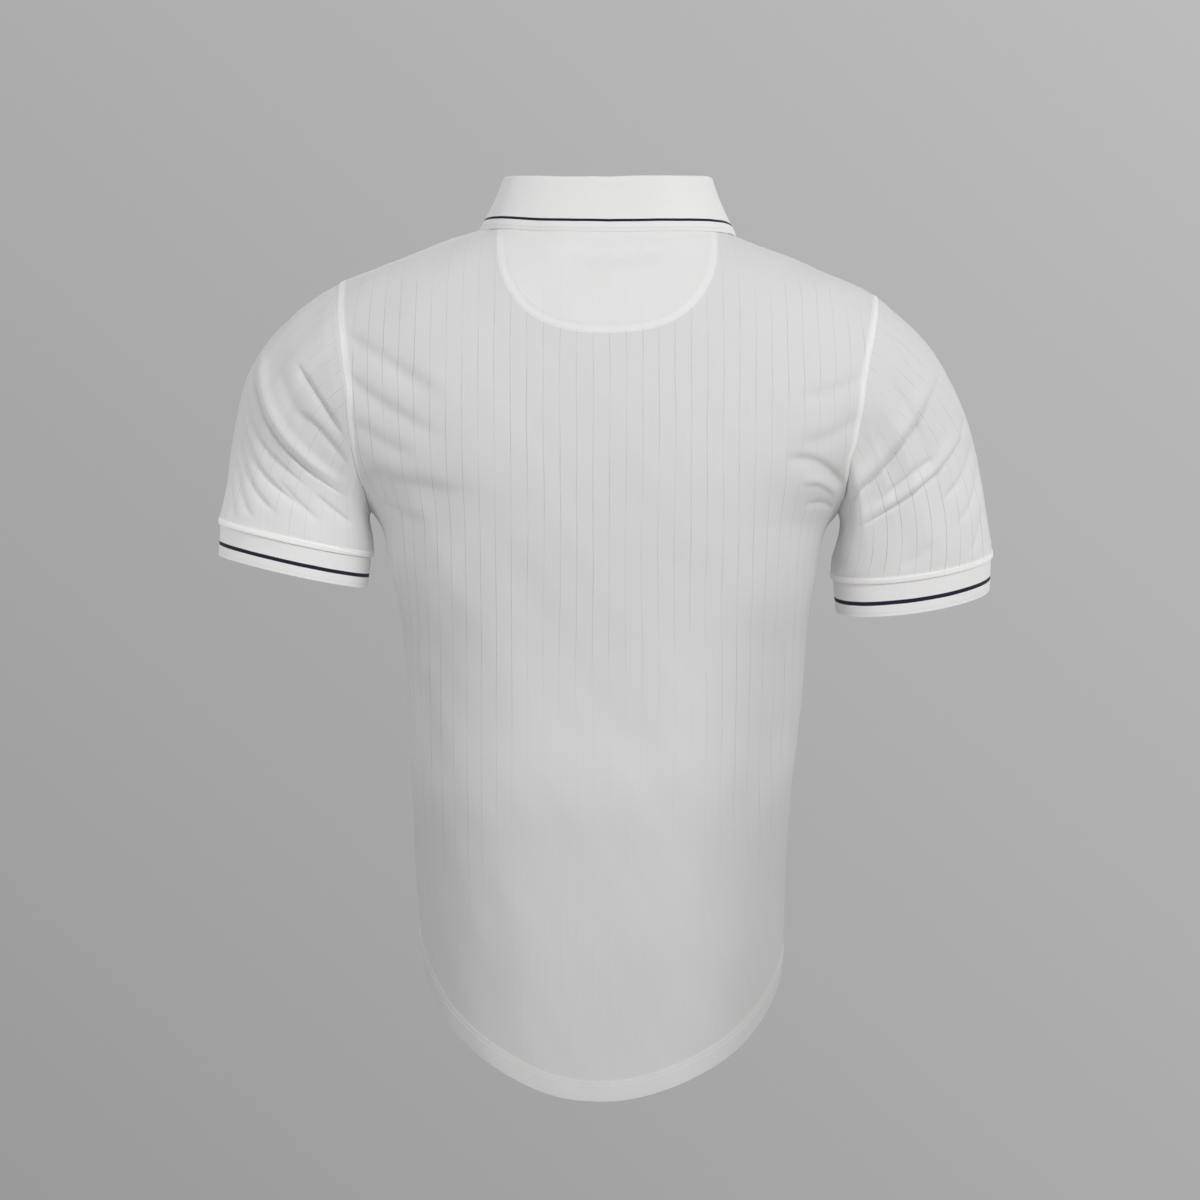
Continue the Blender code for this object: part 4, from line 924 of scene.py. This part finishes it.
def build_collar():
    grid = collar_grid()
    normals = unit(np.cross(np.gradient(grid, axis=1), np.gradient(grid, axis=0)))
    normals *= np.sign(np.sum(normals[-1] * unit(grid[-1] * (1, 1, 0))))
    edge = run_along(grid[::-1])[::-1]
    rib = run_along(grid[STAND_STEPS + len(FOLD_TURNS)])
    lift = unevenness(grid) * (1 - LEAF_CALM * eased(edge, 0, LEAF_EASE))
    lift = lift - EDGE_TOUCH * (1 - eased(edge, 0, TOUCH_WIDTH))
    grid = grid + normals * lift[..., None]
    half = normals * (RIB * (1 - EDGE_THIN * bell(edge, 0, THIN_WIDTH)))[..., None] / 2
    return shell("collar_knit", grid + half, grid - half, {"edge": edge, "rib": rib})


def build_facing():
    """The half-moon inside the back's neck."""
    turn = np.linspace(-math.pi / 2, math.pi / 2, MOON_COLUMNS + 2)[1:-1]
    angle = np.degrees(np.abs(turn))
    top_x = (NECK_HALF - MOON_NECK_INSET) * np.sin(turn)
    left, right = (neck_height(angle, side, 1) - MOON_NECK_INSET for side in SIDES)
    top_z = np.where(turn >= 0, left, right)
    low_x, low_z = moon_edge(turn)
    t = np.linspace(0, 1, MOON_ROWS)[:, None]
    points, normals, _ = body_cloth(top_x * (1 - t) + low_x * t, top_z * (1 - t) + low_z * t, 1)
    outer = points - normals * (CLOTH + SEAM_GAP)
    return shell("neck_facing_cloth", outer, outer - normals * FACING, {})


def build_placket(name, layer):
    """A strip of doubled cloth outside (+1) or inside (-1) the front, made from the front's own points."""
    top = neck_height(math.degrees(math.asin(NOTCH_HALF / NECK_HALF)), 1, -1)
    z = np.linspace(NOTCH_END - PLACKET_TAIL, float(top), PLACKET_ROWS)[:, None]
    x = np.linspace(-PLACKET_HALF, PLACKET_HALF, PLACKET_COLUMNS)[None, :]
    points, normals, _ = body_cloth(x, z, -1)
    if layer > 0:
        rise = SEAM_GAP + PLACKET_CLOTH
        edge = rise + PLACKET_RAISED - PLACKET_ROUND * bell(PLACKET_HALF - np.abs(x), 0, PLACKET_EDGE)
    else:
        rise = -CLOTH - SEAM_GAP
        edge = rise + 0 * x
    outer = points + normals * edge[..., None]
    return shell(name, outer, points + normals * (rise - PLACKET_CLOTH), {}), outer, normals


# ======== sewing and buttons ========

def evenly(line):
    """Middles and directions of the stitches along a line of points and their normals."""
    run = run_along(line[:, :3])
    count = int(run[-1] / STITCH_PITCH)
    places = (np.arange(count) + 0.5) * run[-1] / count
    before, after = (at_run(line, run, places + way * STITCH_PITCH * 0.2)[:, :3] for way in (-1, 1))
    return at_run(line, run, places), unit(after - before)


def surface_tree(made):
    """A search tree of a piece's faces, to seat the stitches on."""
    corners = [tuple(vertex.co) for vertex in made.data.vertices]
    return BVHTree.FromPolygons(corners, [tuple(face.vertices) for face in made.data.polygons])


def beside(line, normals, toward):
    """Sideways directions of a line on the cloth, on the side of a given direction."""
    side = unit(np.cross(normals, unit(np.gradient(line, axis=0))))
    return side * np.sign(side @ np.array(toward, float))[:, None]


def sewn_row(tree, line, normals, toward, distance):
    """Seats of a row of stitches beside a line of the cloth, as places, directions and normals."""
    line = line + beside(line, normals, toward) * distance
    middles, along = evenly(np.concatenate([line, normals], 1))
    seats = []
    for middle, way in zip(middles, along):
        out = Vector(middle[3:])
        place, normal, _, _ = tree.ray_cast(Vector(middle[:3]) + out * SEARCH, -out, 2 * SEARCH)
        if place is not None:
            seats.append((tuple(place), tuple(way), tuple(normal)))
    places, ways, outs = (np.array(part) for part in zip(*seats))
    return places, unit(ways - outs * np.sum(ways * outs, axis=1, keepdims=True)), outs


def thread_object(name, rows, length, radius, bow):
    """Bowed little threads with their ends sunk in, one for each seat of the rows."""
    places, along, out = (np.concatenate(part) for part in zip(*rows))
    side = unit(np.cross(along, out))[:, None]
    turn = np.linspace(0, 2 * math.pi, THREAD_SIDES, endpoint=False)[None, :, None]
    circle = side * np.cos(turn) + out[:, None] * np.sin(turn)
    rings = []
    for place, share in THREAD_STATIONS:
        middle = places + along * place * length / 2 + out * bow * (1 - 2 * place**2)
        rings.append(middle[:, None] + radius * share * circle)
    points = np.stack(rings, 1)
    index = np.arange(points.size // 3).reshape(points.shape[:3])
    near, far = index[:, :-1], index[:, 1:]
    quads = np.stack([near, far, np.roll(far, -1, 2), np.roll(near, -1, 2)], -1).reshape(-1, 4)
    ends = np.concatenate([index[:, 0], index[:, -1, ::-1]])
    return new_object(name, points.reshape(-1, 3), quads.tolist() + ends.tolist())


def panel_rows(made, face, outer, normals):
    """The rows of stitches on the back or the front: hem, armholes, shoulders, neck and half-moon."""
    tree = surface_tree(made)
    rows = [sewn_row(tree, outer[0], normals[0], (0, 0, 1), HEM_BAND - off) for off in HEM_STITCHES]
    half = RING_BACK + 1
    for sign in SIDES:
        line, out = armhole_line(sign)
        mine = slice(4, half - 2) if face > 0 else slice(half + 2, len(line) - 4)
        toward = (-sign, 0, -0.5)
        width = arm_band(sign, line[mine, 2])[:, None]
        line = line[mine] + beside(line[mine], out[mine], toward) * (width * ARM_STITCH)
        rows.append(sewn_row(tree, line, out[mine], toward, 0.0))
    if face < 0:
        return rows
    top, up = outer[-1], normals[-1]
    neck = slice(SHOULDER_STEPS, -SHOULDER_STEPS)
    rows += [sewn_row(tree, top[neck], up[neck], (0, 0, -1), off) for off in NECK_STITCHES]
    for end in (slice(2, SHOULDER_STEPS - 1), slice(1 - SHOULDER_STEPS, -2)):
        rows.append(sewn_row(tree, top[end], up[end], (0, 1, -0.3), SHOULDER_STITCH))
    turn = np.linspace(-MOON_TURN, MOON_TURN, MOON_POINTS)
    for inset in MOON_STITCHES:
        line, out, _ = body_cloth(*moon_edge(turn, inset), 1)
        rows.append(sewn_row(tree, line, out, (0, 0, 1), 0.0))
    return rows


def sleeve_rows(made, grid, normals):
    """Two rows of stitches above a sleeve's end, where its cuff is sewn on."""
    tree = surface_tree(made)
    run = run_along(grid[::-1]).mean(1)
    rows = []
    for height in END_STITCHES:
        row = len(grid) - 1 - int(np.searchsorted(run, height))
        ring, out = (np.concatenate([part[row], part[row][:1]]) for part in (grid, normals))
        rows.append(sewn_row(tree, ring, out, (0, 0, 1), 0.0))
    return rows


def placket_rows(made, points, normals):
    """Stitches down both edges of the outer strip, and a box at its foot."""
    tree = surface_tree(made)
    across = points[0, -1] - points[0, 0]
    rows = [sewn_row(tree, points[:, column], normals[:, column], across * way, EDGE_STITCH)
            for column, way in ((0, 1), (-1, -1))]
    foot = slice(1, -1)
    rows += [sewn_row(tree, points[0, foot], normals[0, foot], (0, 0, 1), off) for off in PLACKET_BOX]
    return rows


def lathe(name, profile, sides):
    """A turned shape about Z from a profile of (radius, height), closed on the axis."""
    turn = np.linspace(0, 2 * math.pi, sides, endpoint=False)
    body = np.array([[(r * math.cos(a), r * math.sin(a), z) for a in turn] for r, z in profile[1:-1]])
    points = np.concatenate([body.reshape(-1, 3), [(0, 0, profile[0][1]), (0, 0, profile[-1][1])]])
    index = np.arange(body.size // 3).reshape(body.shape[:2])
    faces = np.stack([index[:-1], index[1:], np.roll(index[1:], -1, 1), np.roll(index[:-1], -1, 1)], -1)
    faces = faces.reshape(-1, 4).tolist()
    for ring, tip, way in ((index[0], len(points) - 2, 1), (index[-1], len(points) - 1, -1)):
        faces += [(tip, a, b)[::way] for a, b in zip(ring, np.roll(ring, -1))]
    return new_object(name, points, faces)


def drilled_button(name):
    """A dished shirt button with a rounded rim and four holes, its foot at the origin."""
    disc = lathe(name, BUTTON_PROFILE, BUTTON_SIDES)
    for side, up in ((-1, -1), (-1, 1), (1, -1), (1, 1)):
        bpy.ops.mesh.primitive_cylinder_add(
            vertices=BUTTON_HOLE_SIDES, radius=BUTTON_HOLE_RADIUS, depth=BUTTON_DRILL,
            location=(side * BUTTON_HOLE_OFFSET, up * BUTTON_HOLE_OFFSET, 0))
        drill = bpy.context.object
        cut = disc.modifiers.new("hole", "BOOLEAN")
        cut.object = drill
        graph = bpy.context.evaluated_depsgraph_get()
        drilled = bpy.data.meshes.new_from_object(disc.evaluated_get(graph))
        disc.modifiers.clear()
        disc.data = drilled
        bpy.data.objects.remove(drill)
    disc.data.set_sharp_from_angle(angle=BUTTON_SHARP)
    return disc


def build_button(number, height, tree, resin, thread):
    """A button on the outer strip, with its thread and its stitched buttonhole."""
    seat, normal, _, _ = tree.ray_cast(Vector((0, -0.3, height)), Vector((0, 1, 0)), 0.4)
    button = drilled_button(f"button_{number}_turned")
    out = np.array(normal)
    across = unit(np.array([1.0, 0, 0]) - out * out[0])
    up = np.cross(out, across)
    turned = Matrix(np.stack([across, up, out], 1).tolist()).to_4x4()
    turned.translation = seat + normal * BUTTON_LIFT
    button.matrix_world = turned
    dress(button, f"button_{number}", resin)
    face = np.array(turned.translation) + out * BUTTON_DISH
    strands = np.array([face + across * (side * BUTTON_HOLE_OFFSET + strand * THREAD_APART)
                        for side in (-1, 1) for strand in (-1, 0, 1)])
    turn = np.linspace(0, 2 * math.pi, HOLE_STITCHES, endpoint=False)[:, None]
    tall, wide = (np.sign(way) * np.abs(way) ** HOLE_POWER for way in (np.cos(turn), np.sin(turn)))
    ring = np.array(seat) + up * HOLE_HALF * tall + across * HOLE_WIDE * wide
    made = []
    for name, places, along, size in ((f"button_{number}_thread", strands, up, BUTTON_THREAD),
                                      (f"buttonhole_{number}", ring, across, HOLE_THREAD)):
        rows = [(places, np.tile(along, (len(places), 1)), np.tile(out, (len(places), 1)))]
        made.append(thread_object(name, rows, *size))
        dress(made[-1], None, thread)
    return made


# ======== materials ========

def plug(tree, socket, value):
    """Gives an input of a node a Value, a number or a colour."""
    if isinstance(value, Value):
        tree.links.new(value.socket, socket)
    elif isinstance(value, tuple) and len(socket.default_value) == 4:
        socket.default_value = (*value, 1)
    else:
        socket.default_value = value


class Value:
    """An output in a node tree. Sums and products of such values add the nodes that work them out."""

    def __init__(self, tree, socket):
        self.tree = tree
        self.socket = socket

    def then(self, kind, other=0.0, swap=False):
        """This value, and another, through a Math node; with swap the other comes first."""
        node = self.tree.nodes.new("ShaderNodeMath")
        node.operation = kind
        for socket, value in zip(node.inputs, (other, self) if swap else (self, other)):
            plug(self.tree, socket, value)
        return Value(self.tree, node.outputs[0])

    def ramp(self, low, high, to_low=0.0, to_high=1.0):
        """A soft step of the value from one number to another."""
        node = self.tree.nodes.new("ShaderNodeMapRange")
        node.interpolation_type = "SMOOTHSTEP"
        for socket, value in zip(node.inputs, (self, low, high, to_low, to_high)):
            plug(self.tree, socket, value)
        return Value(self.tree, node.outputs["Result"])

    def __add__(self, other):
        return self.then("ADD", other)

    def __sub__(self, other):
        return self.then("SUBTRACT", other)

    def __rsub__(self, other):
        return self.then("SUBTRACT", other, swap=True)

    def __mul__(self, other):
        return self.then("MULTIPLY", other)


def new_material(name):
    material = bpy.data.materials.new(name)
    material.use_nodes = True
    return material, material.node_tree, material.node_tree.nodes["Principled BSDF"]


def attribute(tree, name):
    node = tree.nodes.new("ShaderNodeAttribute")
    node.attribute_name = name
    return Value(tree, node.outputs["Fac"])


def noise(tree, scale, detail=2.0, stretch=(1, 1, 1)):
    place = tree.nodes.new("ShaderNodeTexCoord")
    turn = tree.nodes.new("ShaderNodeMapping")
    turn.inputs["Scale"].default_value = stretch
    tree.links.new(place.outputs["Object"], turn.inputs["Vector"])
    node = tree.nodes.new("ShaderNodeTexNoise")
    node.inputs["Scale"].default_value = scale
    node.inputs["Detail"].default_value = detail
    tree.links.new(turn.outputs["Vector"], node.inputs["Vector"])
    return Value(tree, node.outputs["Fac"])


def mix_colour(factor, a, b):
    node = factor.tree.nodes.new("ShaderNodeMix")
    node.data_type = "RGBA"
    for number, value in ((0, factor), (6, a), (7, b)):
        plug(factor.tree, node.inputs[number], value)
    return Value(factor.tree, node.outputs[2])


def colour_it(socket, colour, tone):
    """Gives an input a colour times a tone."""
    node = tone.tree.nodes.new("ShaderNodeVectorMath")
    node.operation = "SCALE"
    plug(tone.tree, node.inputs[0], colour)
    plug(tone.tree, node.inputs["Scale"], tone)
    tone.tree.links.new(node.outputs[0], socket)


def cloth_finish(shader, height, distance, strength, rough, sheen):
    """Fine relief, and the soft shine of cloth."""
    node = height.tree.nodes.new("ShaderNodeBump")
    node.inputs["Distance"].default_value = distance
    node.inputs["Strength"].default_value = strength
    plug(height.tree, node.inputs["Height"], height)
    height.tree.links.new(node.outputs["Normal"], shader.inputs["Normal"])
    shader.inputs["Roughness"].default_value = rough
    shader.inputs["Specular IOR Level"].default_value = 0.25
    shader.inputs["Sheen Weight"].default_value = sheen
    shader.inputs["Sheen Roughness"].default_value = 0.5


def shell_material():
    """Fine white jersey with tone-on-tone stripes, whiter where it lies double."""
    material, tree, shader = new_material("striped_jersey")
    hem, arm, end, moon = (attribute(tree, name) for name in ("hem", "arm", "end", "moon"))
    in_moon = moon.ramp(-0.0010, 0.0010)
    layers = (
        (hem.ramp(HEM_BAND - 0.0004, HEM_BAND + 0.0004, 1, 0) * attribute(tree, "hem_tone"), 0.30),
        (arm.ramp(SEAM_BAND - 0.0014, SEAM_BAND + 0.0012, 1, 0), 0.78),
        (end.ramp(END_BAND - 0.0005, END_BAND + 0.0005, 1, 0), 0.80),
        (in_moon, 0.44),
        (in_moon * moon.ramp(0.0035, 0.0110, 1, 0), 0.62),
    )
    double = 0.0
    for place, white in layers:
        double = (place * white).then("MAXIMUM", double)
    stripe = (attribute(tree, "stripe").then("DIVIDE", STRIPE_PITCH) + 100.5).then("FRACT")
    place = (stripe - 0.5).then("ABSOLUTE")
    strength = noise(tree, 30, 2, (1, 1, 0.45)).ramp(0.36, 0.62, 0.35, 1.0) * attribute(tree, "strength")
    dashes = noise(tree, 75, 1).ramp(0.44, 0.54, 0.85, 0.0) * attribute(tree, "dash")
    covered = double.then("MAXIMUM", in_moon * 0.95) * 0.85
    strength = strength * (1.0 - dashes) * (1.0 - covered)
    line = place.ramp(*LINE_FALL, 1, 0) * strength
    light = place.ramp(*LIGHT_RISE) * place.ramp(*LIGHT_FALL, 1, 0) * strength
    tone = noise(tree, 9, 3) * 0.03 + 0.985 + (noise(tree, 380, 2, (1, 1, 0.05)) * 0.03 - 0.015)
    # the tone mark paints shade on the body's sides and low down, and paints light on the lower sleeves
    tone = (tone - line * LINE_DARK + light * LIGHT_BRIGHT) * attribute(tree, "tone")
    colour_it(shader.inputs["Base Color"], mix_colour(double, JERSEY, DOUBLE_JERSEY), tone)
    knit = noise(tree, 900, 2, (1, 1, 0.6)) * 0.35
    cloth_finish(shader, knit - line, 0.00012, 0.6, 0.86, 0.12)
    return material


def rib_material(name, white, navy_line):
    """White flat knit with fine ribs and one navy line near its edge."""
    material, tree, shader = new_material(name)
    edge = attribute(tree, "edge")
    place = edge + (noise(tree, 60, 2) - 0.5) * 0.0003
    start, stop = navy_line
    line = place.ramp(start - 0.0001, start + 0.0001) * place.ramp(stop - 0.0001, stop + 0.0001, 1, 0)
    line = line * attribute(tree, "inside").ramp(0.0, 0.5, 1, 0)
    groove = place.ramp(0.0020, 0.0024) * place.ramp(0.0028, 0.0032, 1, 0)
    wave = (attribute(tree, "rib") * (2 * math.pi / RIB_PITCH)).then("SINE")
    courses = (edge * (2 * math.pi / COURSE_PITCH)).then("SINE")
    # the groove is also painted 6% darker, a painted shade in it
    tone = noise(tree, 12, 3) * 0.03 + 0.985 + wave * 0.008 - groove * 0.06
    colour_it(shader.inputs["Base Color"], mix_colour(line, white, NAVY), tone)
    height = wave * 0.5 + courses * 0.25 - groove * 1.2
    cloth_finish(shader, height, 0.00012, 0.5, 0.84, 0.10)
    return material


def plain_material(name, colour, rough=0.85, grain=900):
    """Plain white jersey or thread."""
    material, tree, shader = new_material(name)
    colour_it(shader.inputs["Base Color"], colour, noise(tree, 40, 3) * 0.05 + 0.975)
    cloth_finish(shader, noise(tree, grain, 2), 0.0001, 0.4, rough, 0.1)
    return material


def button_material():
    material, tree, shader = new_material("button_resin")
    cloud = noise(tree, 260, 4)
    tree.links.new(mix_colour(cloud, *BUTTON_TONES).socket, shader.inputs["Base Color"])
    tree.links.new(cloud.ramp(0.3, 0.7, 0.22, 0.34).socket, shader.inputs["Roughness"])
    shader.inputs["Coat Weight"].default_value = 0.3
    return material


def floor_material():
    material, tree, shader = new_material("floor_paper")
    tree.links.new(mix_colour(noise(tree, 3, 3), *FLOOR_TONES).socket, shader.inputs["Base Color"])
    shader.inputs["Roughness"].default_value = 0.9
    return material


# ======== stage ========

def build_camera():
    data = bpy.data.cameras.new("camera")
    data.lens = LENS
    data.sensor_width = 36
    camera = bpy.data.objects.new("camera", data)
    bpy.context.scene.collection.objects.link(camera)
    camera.location = CAMERA_AT
    camera.rotation_euler = (math.radians(90), 0, math.radians(180))
    bpy.context.scene.camera = camera


def area_light(name, at, size, spread, power):
    data = bpy.data.lights.new(name, "AREA")
    data.shape = "DISK"
    data.size = size
    data.spread = math.radians(spread)
    data.energy = power
    lamp = bpy.data.objects.new(name, data)
    bpy.context.scene.collection.objects.link(lamp)
    lamp.location = at
    lamp.rotation_euler = (Vector(LIGHTS_AIM) - Vector(at)).to_track_quat("-Z", "Y").to_euler()


def build_world():
    """A grey studio, a little lighter towards the wearer's right and above."""
    world = bpy.data.worlds.new("studio")
    bpy.context.scene.world = world
    world.use_nodes = True
    tree = world.node_tree
    place = tree.nodes.new("ShaderNodeTexCoord")
    split = tree.nodes.new("ShaderNodeSeparateXYZ")
    tree.links.new(place.outputs["Generated"], split.inputs[0])
    side, rise = (Value(tree, split.outputs[axis]) for axis in ("X", "Z"))
    tone = side * STUDIO_SIDE + rise * STUDIO_RISE + STUDIO_GREY
    tone = tone.then("MAXIMUM", STUDIO_LIMITS[0]).then("MINIMUM", STUDIO_LIMITS[1])
    colour_it(tree.nodes["Background"].inputs["Color"], STUDIO_COLOUR, tone)


def build_floor():
    bpy.ops.mesh.primitive_circle_add(
        vertices=96, radius=FLOOR_RADIUS, fill_type="NGON", location=(0, 0, FLOOR_HEIGHT))
    floor = bpy.context.object
    floor.name = "floor"
    floor.data.materials.append(floor_material())


# ======== put together ========

def dress(made, node, material):
    made.data.materials.append(material)
    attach(made, "root")
    if node:
        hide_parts(node)


def sew(name, rows, thread):
    """One object of stitches for a piece."""
    made = thread_object(name, rows, *STITCH)
    dress(made, None, thread)
    return made


def build_shirt():
    jersey = shell_material()
    collar_rib = rib_material("collar_rib", COLLAR_WHITE, COLLAR_LINE)
    cuff_rib = rib_material("cuff_rib", CUFF_WHITE, CUFF_LINE)
    facing = plain_material("facing_jersey", FACING_WHITE)
    placket = plain_material("placket_jersey", THREAD_WHITE)
    thread = plain_material("thread", THREAD_WHITE, rough=0.6, grain=2500)
    for name, face, length, area in (("back", 1, 0.73, 0.29), ("front", -1, 0.69, 0.27)):
        panel, outer, normals = build_panel(f"{name}_cloth", face)
        dress(panel, name, jersey)
        sewn = sew(f"{name}_stitches", panel_rows(panel, face, outer, normals), thread)
    for sign, side in SIDES.items():
        sleeve = f"sleeve_{side.name}"
        points, normals, marks = sleeve_grid(sign)
        made = shell(f"{sleeve}_cloth", points, points - normals * CLOTH, marks, closed=True)
        dress(made, sleeve, jersey)
        sewn = sew(f"{sleeve}_stitches", sleeve_rows(made, points, normals), thread)
        cuff = build_cuff(f"cuff_{side.name}_knit", sign)
        dress(cuff, f"cuff_{side.name}", cuff_rib)
    collar = build_collar()
    dress(collar, "collar", collar_rib)
    moon = build_facing()
    dress(moon, "neck_facing", facing)
    under, _, _ = build_placket("placket_under_cloth", -1)
    dress(under, "placket_under", placket)
    over, points, normals = build_placket("placket_over_cloth", 1)
    dress(over, "placket_over", placket)
    sewn = [sew("placket_stitches", placket_rows(over, points, normals), thread)]
    resin, tree = button_material(), surface_tree(over)
    for number, height in enumerate(BUTTON_HEIGHTS, 1):
        sewn += build_button(number, height, tree, resin, thread)


build_shirt()
build_camera()
for light in LIGHTS:
    area_light(*light)
build_world()
build_floor()
bpy.context.scene.view_settings.view_transform = "Standard"
